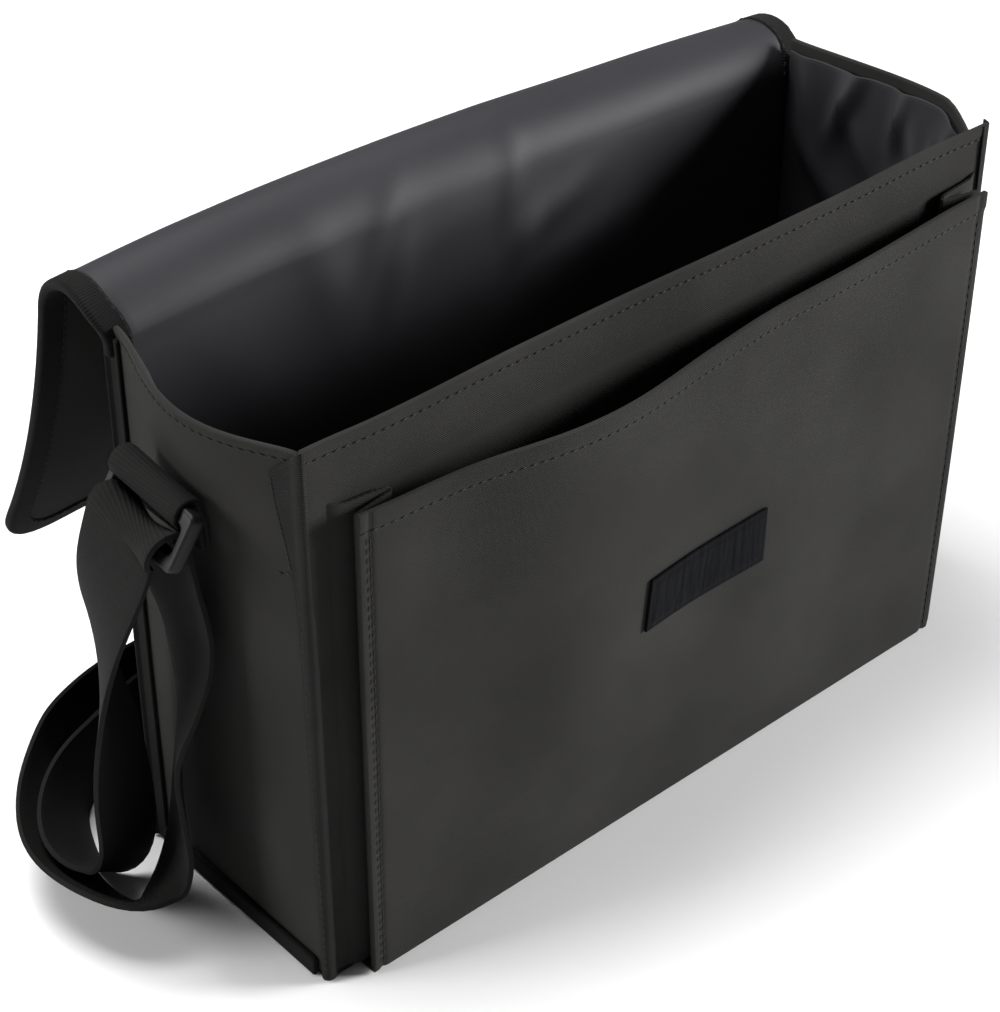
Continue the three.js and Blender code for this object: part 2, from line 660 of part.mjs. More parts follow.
function ringGeometry() {
  const inset = 2 * RING_BEVEL;
  const height = Math.hypot(ringRise.x, ringRise.z) + RING_BAR;
  const corner = RING_CORNER - RING_BEVEL;
  const shape = roundedRectangle(new THREE.Shape(), RING_LENGTH - inset, height - inset, corner);
  const slotLength = RING_LENGTH - 2 * RING_BAR + inset;
  const slotHeight = height - 2 * RING_BAR + inset;
  shape.holes.push(roundedRectangle(new THREE.Path(), slotLength, slotHeight, corner));
  const depth = RING_BAR - inset;
  const geometry = new THREE.ExtrudeGeometry(shape, {
    depth,
    bevelSize: RING_BEVEL,
    bevelThickness: RING_BEVEL,
    bevelSegments: 2,
    curveSegments: 3,
  });
  return geometry.translate(0, 0, -depth / 2).rotateX(Math.PI / 2).rotateZ(Math.PI / 2);
}

const ring = addPiece('strap_ring', 'plastic', ringGeometry());
ring.position.set((RING_TOP.x + RING_BOTTOM.x) / 2, RING_Y, (RING_TOP.z + RING_BOTTOM.z) / 2);
ring.rotation.y = Math.atan2(ringRise.x, ringRise.z);

// Part of a turn round a bar of the ring, from one angle to another in degrees
function wrapRows(bar, from, to) {
  return evenPlaces(WRAP_STEPS).map((share) => {
    const angle = THREE.MathUtils.degToRad(from + share * (to - from));
    return {
      x: bar.x + WRAP_RADIUS * Math.cos(angle),
      y: RING_Y,
      z: bar.z + WRAP_RADIUS * Math.sin(angle),
      across: [0, -1, 0],
    };
  });
}

// Distance from the middle plane to webbing that lies flat on the fullest line of a side
function sewnReach(side, y, z) {
  const bows = evenPlaces(4).map((share) => sideBow(side, y + (share - 0.5) * WEB_WIDTH, z));
  return BAG_WIDTH / 2 + Math.max(...bows) + SEWN_STANDOFF + WEB_THICKNESS / 2;
}

// Tab: a folded length of webbing, both ends on the left side, round the ring's upper bar
function tabLeg(layer) {
  return [TAB_FOOT_Z, (TAB_FOOT_Z + TAB_BEND_Z) / 2, TAB_BEND_Z].map((z) => {
    const x = -sewnReach(-1, RING_Y, z) - layer * (WEB_THICKNESS + GAP);
    return { x, y: RING_Y, z, across: [0, -1, 0] };
  });
}

const TAB_WRAP = { from: -15, to: 265 };
const tabRows = [
  ...tabLeg(0),
  ...wrapRows(RING_TOP, TAB_WRAP.from, TAB_WRAP.to),
  ...tabLeg(1).reverse(),
];
addPiece('strap_tab', 'webbing', band(tabRows, WEB_WIDTH, WEB_THICKNESS, STRAP_STEP));

// Shoulder strap in one length: from the right side, behind the bag, up to the ring's lower
// bar, over it and back down to the adjuster
const anchorRows = ANCHOR_Z.map((z) => ({ x: sewnReach(1, 0, z), y: 0, z, across: [0, -1, 0] }));
const strapRows = [
  ...[...RIGHT_STRETCH, ...anchorRows].reverse(),
  ...[...FRONT_STRAND].reverse(),
  ...wrapRows(RING_BOTTOM, 180, 0),
  ...REAR_STRAND,
];
addPiece('shoulder_strap', 'webbing', band(strapRows, WEB_WIDTH, WEB_THICKNESS, STRAP_STEP));

// Adjuster: a flat slider with two slots, on edge between the strap's two layers
function adjusterGeometry() {
  const corner = RING_CORNER;
  const shape = roundedRectangle(new THREE.Shape(), ADJUSTER_LENGTH, ADJUSTER_WIDTH, corner);
  const slotWidth = ADJUSTER_WIDTH - 2 * ADJUSTER_BAR;
  const slotPlace = ADJUSTER_LENGTH / 2 - ADJUSTER_BAR - ADJUSTER_SLOT / 2;
  for (const side of [-1, 1]) {
    const slot = roundedRectangle(new THREE.Path(), ADJUSTER_SLOT, slotWidth, ADJUSTER_SLOT / 4);
    slot.curves.forEach((curve) => shiftCurve(curve, side * slotPlace));
    shape.holes.push(slot);
  }
  const geometry = new THREE.ExtrudeGeometry(shape, {
    depth: ADJUSTER_THICKNESS,
    bevelEnabled: false,
    curveSegments: 3,
  });
  return geometry.rotateX(Math.PI / 2);
}

function shiftCurve(curve, shift) {
  if (curve.isLineCurve) {
    curve.v1.x += shift;
    curve.v2.x += shift;
  } else {
    curve.aX += shift;
  }
}

const adjuster = addPiece('strap_adjuster', 'plastic', adjusterGeometry());
adjuster.position.set(ADJUSTER_PLACE.x, ADJUSTER_PLACE.y, ADJUSTER_PLACE.z);

export default bag;
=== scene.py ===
"""Looks of a soft projector carry case that stands open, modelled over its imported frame.

Metres, +Z up. The front of the case faces -Y and the origin is the middle of its base.
"""

import math
from collections.abc import Callable
from typing import NamedTuple

import bmesh
import bpy
from bpy.props import FloatProperty, FloatVectorProperty, PointerProperty
from bpy.types import Operator, Panel, PropertyGroup
from mathutils import Matrix, Vector, noise


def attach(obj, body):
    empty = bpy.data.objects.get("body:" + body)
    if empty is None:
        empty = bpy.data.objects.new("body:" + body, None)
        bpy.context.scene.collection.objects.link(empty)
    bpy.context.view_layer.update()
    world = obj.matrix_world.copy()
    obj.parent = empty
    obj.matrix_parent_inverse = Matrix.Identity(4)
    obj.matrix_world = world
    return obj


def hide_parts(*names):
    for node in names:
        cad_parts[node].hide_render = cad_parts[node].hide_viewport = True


bl_info = {
    "name": "Projector Carry Case",
    "version": (1, 0, 0),
    "blender": (4, 5, 0),
    "location": "View3D > Sidebar > Carry Case",
    "description": "Models the cloth, bindings, webbing and fittings of an open carry case",
    "category": "Object",
}

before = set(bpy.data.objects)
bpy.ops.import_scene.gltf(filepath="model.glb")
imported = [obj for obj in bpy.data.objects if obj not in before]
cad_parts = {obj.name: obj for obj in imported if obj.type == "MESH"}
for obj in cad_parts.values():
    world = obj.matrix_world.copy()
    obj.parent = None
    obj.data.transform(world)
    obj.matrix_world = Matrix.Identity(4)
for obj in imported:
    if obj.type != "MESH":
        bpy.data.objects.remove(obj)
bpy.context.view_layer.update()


# Kinds of property that the scene holds
def size(name, description, default):
    return FloatProperty(name=name, description=description, default=default, unit="LENGTH", precision=4)


def angle(name, description, degrees):
    return FloatProperty(name=name, description=description, default=math.radians(degrees), subtype="ANGLE")


def factor(name, description, default):
    return FloatProperty(name=name, description=description, default=default)


def colour(name, description, default):
    return FloatVectorProperty(
        name=name, description=description, default=default, size=3, subtype="COLOR", min=0.0, max=1.0
    )


def position(name, description, default):
    return FloatVectorProperty(name=name, description=description, default=default, unit="LENGTH")


def power(name, description, default):
    return FloatProperty(name=name, description=description, default=default, unit="POWER")


class BagSizes(PropertyGroup):
    """Sizes of the bag's walls"""

    width: size("Width", "Width of the front panel", 0.340)
    depth: size("Depth", "Distance from the front to the back", 0.106)
    front_height: size("Front height", "Height of the front panel", 0.2415)
    side_height: size("Side height", "Height of the sides", 0.240)
    cloth: size("Cloth", "Thickness of the outer cloth", 0.0016)
    lining: size("Lining", "Thickness of the lining", 0.001)
    gap: size("Gap", "Clearance between sewn pieces", 0.0003)
    hem: size("Hem", "Depth of the cloth above the linings", 0.009)
    front_seam: size("Front seam", "Depth of the seam below the front's upper edge", 0.0055)
    side_hem: size("Side hem", "Depth of the cloth above the sides' linings", 0.0042)
    side_seam: size("Side seam", "Depth of the seam below the sides' upper edges", 0.004)
    pocket_seam: size("Pocket seam", "Depth of the seam below the pocket's upper edge", 0.008)
    hem_fold: size("Hem fold", "Thickness that a turned hem adds", 0.0007)
    bow_left: size("Left bow", "How far the left side stands out at its top", 0.0145)
    bow_right: size("Right bow", "How far the right side stands out at its top", 0.0075)
    bow_growth: factor("Bow growth", "How the bow grows with height", 1.3)
    bow_shape: factor("Bow shape", "How narrow the bow is", 1.5)
    bow_skew_left: factor("Left skew", "Shift of the left side's fullest line", 0.85)
    bow_skew_right: factor("Right skew", "Shift of the right side's fullest line", 0.7)
    dip: size("Dip", "How far the right side's edge drops to the front corner", 0.012)
    dip_reach: size("Dip reach", "Length of that drop", 0.026)
    sway: size("Sway", "How far the walls stray from flat", 0.0022)


class FlapSizes(PropertyGroup):
    """Sizes of the back panel's roll and of the flap that hangs from it"""

    fold_height: size("Fold height", "Height where the roll starts", 0.236)
    fold_radius: size("Fold radius", "Radius of the roll", 0.0175)
    hang: size("Hang", "Length of the flap below the roll", 0.159)
    lean_top: angle("Upper lean", "Lean of the flap where it leaves the roll", 12)
    lean_end: angle("Lower lean", "Lean of the flap at its free end", 35)
    half_top: size("Upper half width", "Half the width of the flap at the roll", 0.178)
    half_end: size("Lower half width", "Half the width of the flap at its free end", 0.1765)
    corner: size("Corner", "Radius of the flap's lower corners", 0.030)
    tape_width: size("Tape width", "Width of the binding tape", 0.011)
    tape_lap: size("Tape lap", "How far the sheets run into the binding tape", 0.0006)
    tape_thickness: size("Tape thickness", "Thickness of the binding over the edge", 0.0042)
    tape_below: size("Tape below", "How far below the roll the binding starts", 0.005)
    tape_draw: size("Tape draw", "How far the binding's ends are drawn in to the corner seams", 0.004)


class BindingSizes(PropertyGroup):
    """Sizes of the bound seams"""

    fin_cloth: size("Fin cloth", "Thickness of the tapes at the back corners", 0.0016)
    fin_onto: size("Fin onto side", "Width of those tapes that lies on a side", 0.0055)
    fin_lift: size("Fin lift", "Distance of those tapes' middle from the side", 0.0011)
    foot: size("Foot", "Height where the corner bindings start", 0.0012)
    base_thickness: size("Base thickness", "Thickness of the base bindings", 0.0024)
    base_height: size("Base height", "Height of the base bindings", 0.0085)
    base_floor: size("Base floor", "Clearance of the base bindings above the floor", 0.0005)
    base_inset: size("Base inset", "Distance of the base bindings from the corners", 0.003)
    base_standoff: size("Base standoff", "Distance of the base bindings from the sides", 0.0004)
    strip_cloth: size("Strip cloth", "Thickness of the strips round the front corners", 0.0009)
    strip_soft: size("Strip softness", "Rounding of those strips", 0.0008)
    strip_lift: size("Strip lift", "Distance of those strips from the walls", 0.0003)
    strip_bulge: size("Strip bulge", "How far the left strip stands out at the corner", 0.0010)
    strip_round: size("Strip round", "Width of that bulge on the side", 0.0045)


class PocketSizes(PropertyGroup):
    """Sizes of the bellows pocket and its patch"""

    left: size("Left", "Left edge of the pocket", -0.155)
    right: size("Right", "Right edge of the pocket", 0.159)
    standoff: size("Standoff", "Distance of the pocket's edges from the front", 0.0095)
    top_left: size("Left height", "Height of the pocket's left edge", 0.214)
    top_right: size("Right height", "Height of the pocket's right edge", 0.220)
    belly: factor("Belly", "How fast the pocket fills towards its mouth", 2.2)
    floor: size("Floor", "Clearance of the pocket above the floor", 0.0004)
    edge_seam: size("Edge seam", "Distance of the seam from the pocket's upright edges", 0.0042)
    pleat_cloth: size("Pleat cloth", "Thickness of the bellows", 0.0012)
    pleat_out: size("Pleat reach out", "How far the bellows start outside the pocket's edge", 0.0055)
    pleat_in: size("Pleat reach in", "How far the bellows fold inside the pocket's edge", 0.018)
    pleat_below: size("Pleat below edge", "How far the bellows end below the pocket's edge", 0.0012)
    pleat_rise: size("Pleat rise", "How much higher the bellows end at the front", 0.0035)
    pleat_lead: factor("Pleat lead", "Share of the way to their fold that the bellows turn at the edge", 0.25)
    patch_width: size("Patch width", "Width of the hook-and-loop patches", 0.066)
    patch_height: size("Patch height", "Height of the hook-and-loop patches", 0.026)
    patch_thickness: size("Patch thickness", "Thickness of the hook-and-loop patches", 0.0018)
    patch_x: size("Patch place", "Sideways place of the patches", 0.005)
    patch_z: size("Patch level", "Height of the patch on the pocket", 0.115)
    hook_from_tape: size("Hook from tape", "Distance of the flap's patch from the binding", 0.008)


class StrapSizes(PropertyGroup):
    """Sizes of the webbing and its fittings"""

    width: size("Width", "Width of the webbing", 0.038)
    thickness: size("Thickness", "Thickness of the webbing", 0.002)
    ring_length: size("Ring length", "Length of the ring", 0.0465)
    ring_bar: size("Ring bar", "Thickness of the ring's bars", 0.006)
    ring_leg: size("Ring leg", "Thickness of the ring's two ends", 0.0036)
    ring_tilt: angle("Ring tilt", "How far the ring's front end hangs below its back end", 6)
    ring_corner: size("Ring corner", "Radius of the ring's corners", 0.003)
    ring_round: factor("Ring rounding", "Rounding of the ring's bars as a share of their thickness", 0.36)
    adjuster_round: size("Adjuster rounding", "Rounding of the adjuster's edges", 0.0009)
    web_y: size("Webbing place", "Place of the webbing on the ring from the front to the back", 0.0035)
    ring_top: position("Ring top", "Place of the ring's upper bar", (-0.1895, 0.002, 0.207))
    ring_bottom: position("Ring bottom", "Place of the ring's lower bar", (-0.1975, 0.002, 0.192))
    wrap_radius: size("Wrap radius", "Radius of the webbing round a bar", 0.005)
    wrap_lean: size("Wrap lean", "How far the strap moves along the bar as it turns round it", 0.007)
    sewn_standoff: size("Sewn standoff", "Distance of sewn webbing from the cloth", 0.0006)
    tab_foot: size("Tab foot", "Height of the tab's lower end", 0.188)
    tab_bend: size("Tab bend", "Height where the tab leaves the side", 0.200)
    tab_from: angle("Tab wrap start", "Where the tab meets the upper bar", -15)
    tab_to: angle("Tab wrap end", "Where the tab leaves the upper bar", 265)


class FinishLook(PropertyGroup):
    """Colours of the finishes and sizes of the stitches"""

    cloth: colour("Cloth", "Colour of the outer cloth", (0.0232, 0.0228, 0.0219))
    lining: colour("Lining", "Colour of the lining", (0.0180, 0.0181, 0.0214))
    tape: colour("Tape", "Colour of the binding tape", (0.0073, 0.0073, 0.0071))
    seam: colour("Seam", "Colour of the cloth round the corner seams", (0.0185, 0.0184, 0.0178))
    webbing: colour("Webbing", "Colour of the webbing", (0.0092, 0.0092, 0.0089))
    plastic: colour("Plastic", "Colour of the fittings", (0.0047, 0.0047, 0.0051))
    patch: colour("Patch", "Colour of the hook-and-loop patches", (0.0019, 0.0021, 0.0030))
    # The thread's near-black colour is dark thread, and it also paints the shade that lies along the stitch
    # lines
    thread: colour("Thread", "Colour of the sewing thread", (0.0080, 0.0080, 0.0080))
    floor: colour("Floor", "Colour of the floor", (0.78, 0.78, 0.78))
    stitch_length: size("Stitch length", "Length of one stitch", 0.0030)
    stitch_pitch: size("Stitch pitch", "Distance from stitch to stitch", 0.0040)
    thread_radius: size("Thread radius", "Half the thickness of the thread", 0.0004)


class StageLook(PropertyGroup):
    """Camera, lamps and floor"""

    azimuth: angle("Azimuth", "Direction of the camera, from straight in front", -41.60)
    elevation: angle("Elevation", "Height of the camera as an angle", 36.10)
    roll: angle("Roll", "Turn of the camera about its view", 0.13)
    distance: size("Distance", "Distance of the camera from its aim", 1.0124)
    aim: position("Aim", "Point the camera looks at", (-0.0245, 0.01465, 0.1131))
    lens: factor("Lens", "Focal length in millimetres on a 36 millimetre frame", 91.19)
    world: factor("World", "Strength of the light from all round", 0.10)
    key: power("Key", "Power of the main lamp", 240.0)
    top: power("Top", "Power of the lamp over the fold", 30.0)
    fill: power("Fill", "Power of the lamp at the left", 18.0)
    floor_width: size("Floor width", "Width of the floor", 8.0)


# Tables of the soft forms
class Drop(NamedTuple):
    x: float
    drop: float


FOLD_DROP = (
    Drop(-0.178, 0.004),
    Drop(-0.130, 0.001),
    Drop(-0.075, 0.0),
    Drop(0.010, 0.002),
    Drop(0.065, 0.0055),
    Drop(0.120, 0.009),
    Drop(0.178, 0.014),
)


class Gape(NamedTuple):
    x: float
    gape: float


POCKET_GAPE = (
    Gape(-0.155, 0.0),
    Gape(-0.110, 0.0055),
    Gape(-0.060, 0.0135),
    Gape(0.0, 0.009),
    Gape(0.060, 0.006),
    Gape(0.110, 0.003),
    Gape(0.159, 0.002),
)


class Fold(NamedTuple):
    """One soft wrinkle: its middle, its half length and half width, its turn in degrees and its height"""

    across: float
    up: float
    length: float
    width: float
    turn: float
    height: float


BACK_FOLDS = (
    Fold(-0.078, 0.222, 0.026, 0.010, 105, 0.0016),
    Fold(-0.052, 0.230, 0.020, 0.006, 60, 0.0022),
    Fold(-0.044, 0.213, 0.024, 0.007, 75, 0.0018),
    Fold(-0.012, 0.224, 0.026, 0.012, 20, 0.0014),
    Fold(0.013, 0.228, 0.022, 0.006, 82, 0.0019),
    Fold(0.019, 0.204, 0.016, 0.006, 65, 0.0025),
    Fold(0.036, 0.212, 0.020, 0.008, 25, 0.0024),
    Fold(0.044, 0.190, 0.030, 0.010, 15, 0.0020),
    Fold(0.000, 0.186, 0.030, 0.012, 60, 0.0018),
    Fold(0.105, 0.200, 0.040, 0.014, 40, 0.0012),
    Fold(-0.115, 0.190, 0.040, 0.016, 120, 0.0012),
    Fold(-0.060, 0.400, 0.045, 0.016, 70, 0.0014),
    Fold(0.070, 0.385, 0.050, 0.014, 110, 0.0014),
)
RIGHT_FOLDS = (
    Fold(0.036, 0.212, 0.026, 0.006, 70, 0.0042),
    Fold(0.020, 0.222, 0.016, 0.004, 108, 0.0050),
    Fold(0.008, 0.204, 0.028, 0.006, 62, 0.0048),
    Fold(-0.006, 0.222, 0.013, 0.0035, 95, 0.0046),
    Fold(-0.018, 0.208, 0.022, 0.005, 72, 0.0050),
    Fold(-0.030, 0.219, 0.014, 0.004, 112, 0.0042),
    Fold(-0.036, 0.200, 0.020, 0.005, 80, 0.0040),
    Fold(0.026, 0.184, 0.034, 0.007, 48, 0.0040),
    Fold(-0.004, 0.180, 0.030, 0.007, 118, 0.0038),
    Fold(-0.016, 0.158, 0.036, 0.009, 110, 0.0032),
    Fold(0.008, 0.120, 0.050, 0.012, 80, 0.0026),
)
LEFT_FOLDS = (
    Fold(0.020, 0.200, 0.030, 0.008, 80, 0.0022),
    Fold(-0.014, 0.208, 0.024, 0.007, 100, 0.0022),
    Fold(0.004, 0.160, 0.040, 0.010, 65, 0.0020),
)


class Corner(NamedTuple):
    """One upright seam at the back: its side, its reach and its upper end"""

    name: str
    side: int
    reach: float
    top: float


BACK_CORNERS = (
    Corner("back_left", -1, 0.0025, 0.236),
    Corner("back_right", 1, 0.0025, 0.226),
)


class Strip(NamedTuple):
    """How far the strip round a front corner reaches over the side and over the front at one height"""

    z: float
    over_side: float
    over_front: float


LEFT_STRIP = (
    Strip(0.0, 0.0021, 0.0034),
    Strip(0.046, 0.0024, 0.0032),
    Strip(0.110, 0.0034, 0.0027),
    Strip(0.168, 0.0046, 0.0020),
    Strip(0.181, 0.0055, 0.0012),
    Strip(0.225, 0.0115, 0.0008),
    Strip(0.242, 0.0115, 0.0008),
)
STRIP_SLOPE = 1.0
RIGHT_STRIP = (
    Strip(0.0, 0.0035, 0.0030),
    Strip(0.120, 0.0035, 0.0032),
    Strip(0.242, 0.0035, 0.0040),
)


class Way(NamedTuple):
    """One place on the strap: its middle and the direction across it"""

    x: float
    y: float
    z: float
    across: tuple
    held: bool = False


FRONT_STRAND = (
    Way(-0.205, 0.0095, 0.180, (0, -1, -0.09)),
    Way(-0.2075, 0.0135, 0.167, (-0.08, -0.99, -0.04)),
    Way(-0.2085, 0.018, 0.150, (-0.26, -0.97, 0)),
    Way(-0.2075, 0.022, 0.130, (-0.48, -0.88, 0)),
    Way(-0.205, 0.0255, 0.110, (-0.66, -0.75, 0)),
    Way(-0.2015, 0.029, 0.085, (-0.82, -0.57, 0.05)),
    Way(-0.199, 0.0315, 0.058, (-0.89, -0.45, 0.1)),
    Way(-0.198, 0.032, 0.036, (-0.88, -0.42, 0.2)),
    Way(-0.2005, 0.0325, 0.0215, (-0.84, -0.3, 0.42)),
    Way(-0.2055, 0.035, 0.0147, (-0.74, -0.25, 0.6)),
    Way(-0.2105, 0.0415, 0.0146, (-0.68, -0.2, 0.69)),
    Way(-0.2118, 0.0505, 0.0152, (-0.66, -0.12, 0.73)),
    Way(-0.2072, 0.0625, 0.0163, (-0.62, -0.05, 0.77)),
    Way(-0.2000, 0.0735, 0.0180, (-0.45, 0.06, 0.89)),
    Way(-0.1890, 0.0840, 0.0195, (-0.15, 0.04, 0.985)),
    Way(-0.175, 0.0910, 0.0194, (0, 0, 1)),
    Way(-0.160, 0.097, 0.0193, (0, 0, 1)),
    Way(-0.140, 0.103, 0.0193, (0, 0, 1)),
    Way(-0.100, 0.105, 0.0193, (0, 0, 1)),
    Way(-0.064, 0.1066, 0.0193, (0, 0, 1)),
    Way(-0.036, 0.1066, 0.0193, (0, 0, 1)),
)
REAR_STRAND = (
    Way(-0.191, -0.001, 0.176, (0, -1, -0.08)),
    Way(-0.188, -0.001, 0.161, (0, -1, -0.04)),
    Way(-0.1845, 0.0005, 0.140, (-0.15, -0.99, 0)),
    Way(-0.1855, 0.004, 0.115, (-0.4, -0.92, 0)),
    Way(-0.1875, 0.007, 0.092, (-0.62, -0.78, 0)),
    Way(-0.187, 0.010, 0.062, (-0.5, -0.85, 0.1)),
    Way(-0.188, 0.011, 0.036, (-0.35, -0.88, 0.3)),
    Way(-0.194, 0.012, 0.020, (-0.25, -0.86, 0.42)),
    Way(-0.204, 0.011, 0.0150, (-0.3, -0.74, 0.6)),
    Way(-0.211, 0.015, 0.0150, (-0.45, -0.6, 0.66)),
    Way(-0.216, 0.027, 0.0153, (-0.62, -0.35, 0.7)),
    Way(-0.218, 0.045, 0.0153, (-0.7, -0.1, 0.7)),
    Way(-0.214, 0.062, 0.0155, (-0.7, 0, 0.71)),
    Way(-0.206, 0.079, 0.0175, (-0.5, 0.1, 0.85)),
    Way(-0.195, 0.095, 0.0194, (-0.15, 0.1, 0.98)),
    Way(-0.180, 0.110, 0.0193, (0, 0, 1)),
    Way(-0.155, 0.118, 0.0193, (0, 0, 1)),
    Way(-0.128, 0.120, 0.0193, (0, 0, 1)),
    Way(-0.095, 0.117, 0.0193, (0, 0, 1)),
    Way(-0.065, 0.1134, 0.0193, (0, 0, 1)),
    Way(-0.044, 0.1134, 0.0193, (0, 0, 1)),
)
RIGHT_STRETCH = (
    Way(0.0, 0.108, 0.0193, (0, 0, 1)),
    Way(0.050, 0.110, 0.0193, (0, 0, 1)),
    Way(0.095, 0.109, 0.0193, (0, 0, 1)),
    Way(0.135, 0.104, 0.0193, (0, 0, 1)),
    Way(0.164, 0.093, 0.0193, (0, 0, 1)),
    Way(0.183, 0.076, 0.0195, (0.1, 0.05, 0.99)),
    Way(0.192, 0.056, 0.0194, (0.2, 0, 0.97)),
    Way(0.193, 0.038, 0.0195, (0.2, -0.1, 0.95)),
    Way(0.189, 0.024, 0.022, (0.2, -0.5, 0.83)),
    Way(0.185, 0.016, 0.038, (0.35, -0.75, 0.5)),
    Way(0.186, 0.011, 0.062, (0.5, -0.85, 0.1)),
    Way(0.189, 0.007, 0.092, (0.62, -0.78, 0)),
    Way(0.184, 0.004, 0.118, (0.35, -0.93, 0)),
    Way(0.180, 0.001, 0.134, (0.1, -0.99, 0)),
)
ANCHOR_Z = (0.152, 0.164, 0.176, 0.190, 0.204)
SIDES = (("left", -1), ("right", 1))


class Lamp(NamedTuple):
    """One soft lamp: the name of its power, its place and its width"""

    name: str
    place: tuple
    width: float


LAMPS = (
    Lamp("key", (2.60, -1.80, 0.85), 1.1),
    Lamp("top", (-0.20, 0.40, 1.50), 0.8),
    Lamp("fill", (-1.30, 0.60, 0.66), 0.6),
)
FRAME_WIDTH = 36.0
FLOOR_ROUGHNESS = 0.9


# How finely the pieces are divided
class Steps(NamedTuple):
    """Number of steps across a sheet and along it"""

    across: int
    along: int


BASE_STEPS = Steps(40, 14)
BASE_LINING_STEPS = Steps(60, 20)
FRONT_STEPS = Steps(84, 54)
FRONT_LINING_STEPS = Steps(60, 44)
SIDE_STEPS = Steps(30, 54)
SIDE_LINING_STEPS = Steps(50, 100)
BACK_STEPS = Steps(96, 124)
STRIP_STEPS = Steps(24, 90)
FIN_STEPS = Steps(12, 90)
FOOT_STEPS = Steps(40, 4)
POCKET_STEPS = Steps(84, 50)
BELLOWS_STEPS = Steps(40, 40)
PATCH_STEPS = Steps(110, 44)
FLAP_SIDE_STEPS = 30
FLAP_CORNER_STEPS = 10
FLAP_END_STEPS = 40
SEWN_STEPS = 4
WRAP_STEPS = 10
STRAP_STEP = 0.003
STRAP_COLUMNS = 8
STRAP_EASING = 10
TAB_STEP = 0.002
TAPE_STEP = 0.004
TAPE_COLUMNS = 6

# Slow waves of the walls, counted by the metre, and each piece's own place among them
WALL_WAVES = 14
FLOOR_WAVES = 20
FRONT_WAVE = 1.7
SIDE_WAVE = 5.3
POCKET_WAVE = 9.1
FLOOR_WAVE = 3.1
PILE_WAVE = 2.3

# Where waves and wrinkles die out: lengths on the walls, shares of the back's and the floor's sheets
WAVE_FADE = 0.030
WRINKLE_FADE = 0.012
BACK_FADE = 0.06
FLOOR_FADE_ACROSS = 0.1
FLOOR_FADE_ALONG = 0.2

# Hems and sewn edges: lengths, and shares of a sheet's thickness
HEM_MARGIN = 0.004
HEM_SPACING = 0.0011
HEM_STEP = 0.002
SEAM_MARGIN = 0.003
SEAM_STEPS = 8
SEAM_WIDTH = 0.0012
SEAM_DRAW = 0.25
EDGE_SEAM_WIDTH = 0.0011
EDGE_SEAM_DRAW = 0.3
LEAST_THICKNESS = 0.3
POCKET_FOOT = 0.04

# Edges: roundings as shares of a thickness, angles that count as sharp or flat, and limits of a match
CLOTH_EDGE = 0.4
TAPE_EDGE = 0.42
EDGE_SEGMENTS = 3
RING_SEGMENTS = 5
SHARP_ANGLE = math.radians(50)
PLASTIC_SHARP_ANGLE = math.radians(40)
FLAT_ANGLE = math.radians(5)
MERGE_DISTANCE = 1e-5
ALIGNED = 0.9

# Pile of the patches: lengths, tufts by the metre, and shares of the thickness
PILE_START = 0.002
PILE_FULL = 0.004
TUFTS_ACROSS = 420
TUFTS_UP = 60
PATCH_GROUND = 0.72
PILE_RISE = 0.14
TUFT_RISE = 0.10

# Rows of stitches: how far the thread lies out of a surface or in it, and places as shares of a piece
THREAD_OUT = 0.00025
THREAD_IN = 0.0001
BOX_THREAD_OUT = 0.0001
SEAM_POINTS = 120
EDGE_SEAM_POINTS = 60
EDGE_SEAM_START = 0.05
EDGE_SEAM_END = 0.96
# Two close rows of dark thread near the left strip's free edge, and a tack at their foot, stand for stitching
# and paint the shade of the gap under that edge
STRIP_EDGE = 0.05
SHADE_LINE_POINTS = 24
SHADE_LINE_BETWEEN = 0.04
STRIP_SEAM = 0.35
STRIP_SEAM_START = 0.02
TACK = Vector((0.0, 0.009, -0.003))
TACK_POINTS = 6
FLAP_SEAM_IN = 0.0016
BOX_INSET = 0.004
BOX_POINTS = 10
STITCH_SIDES = 6
STITCH_RINGS = 4


# Smooth values
def clamp(value, low, high):
    return max(low, min(high, value))


def smooth_step(value, low, high):
    place = clamp((value - low) / (high - low), 0.0, 1.0)
    return place * place * (3.0 - 2.0 * place)


def even_places(steps):
    return [i / steps for i in range(steps + 1)]


def places_between(low, high, steps):
    return [low + (high - low) * share for share in even_places(steps)]


def even_grid(steps):
    return even_places(steps.across), even_places(steps.along)


def smooth_column(rows, x):
    """Smooth value of a table of places and values, at a place between its ends"""
    last = len(rows) - 2
    k = max(0, min(last, sum(row[0] <= x for row in rows) - 1))
    slopes = [(b[1] - a[1]) / (b[0] - a[0]) for a, b in zip(rows, rows[1:])]
    before = (slopes[max(k - 1, 0)] + slopes[k]) / 2
    after = (slopes[k] + slopes[min(k + 1, last)]) / 2
    (x0, v0), (x1, v1) = rows[k], rows[k + 1]
    width = x1 - x0
    t = (x - x0) / width
    start = v0 * (2 * t**3 - 3 * t**2 + 1) + before * width * (t**3 - 2 * t**2 + t)
    return start + v1 * (3 * t**2 - 2 * t**3) + after * width * (t**3 - t**2)


def fold_height(folds, across, up):
    """Height that a table's wrinkles add at a place on a sheet"""
    total = 0.0
    for fold in folds:
        turn = math.radians(fold.turn)
        x = across - fold.across
        y = up - fold.up
        along = (x * math.cos(turn) + y * math.sin(turn)) / fold.length
        beside = (y * math.cos(turn) - x * math.sin(turn)) / fold.width
        total += fold.height * math.exp(-along * along - beside * beside)
    return total


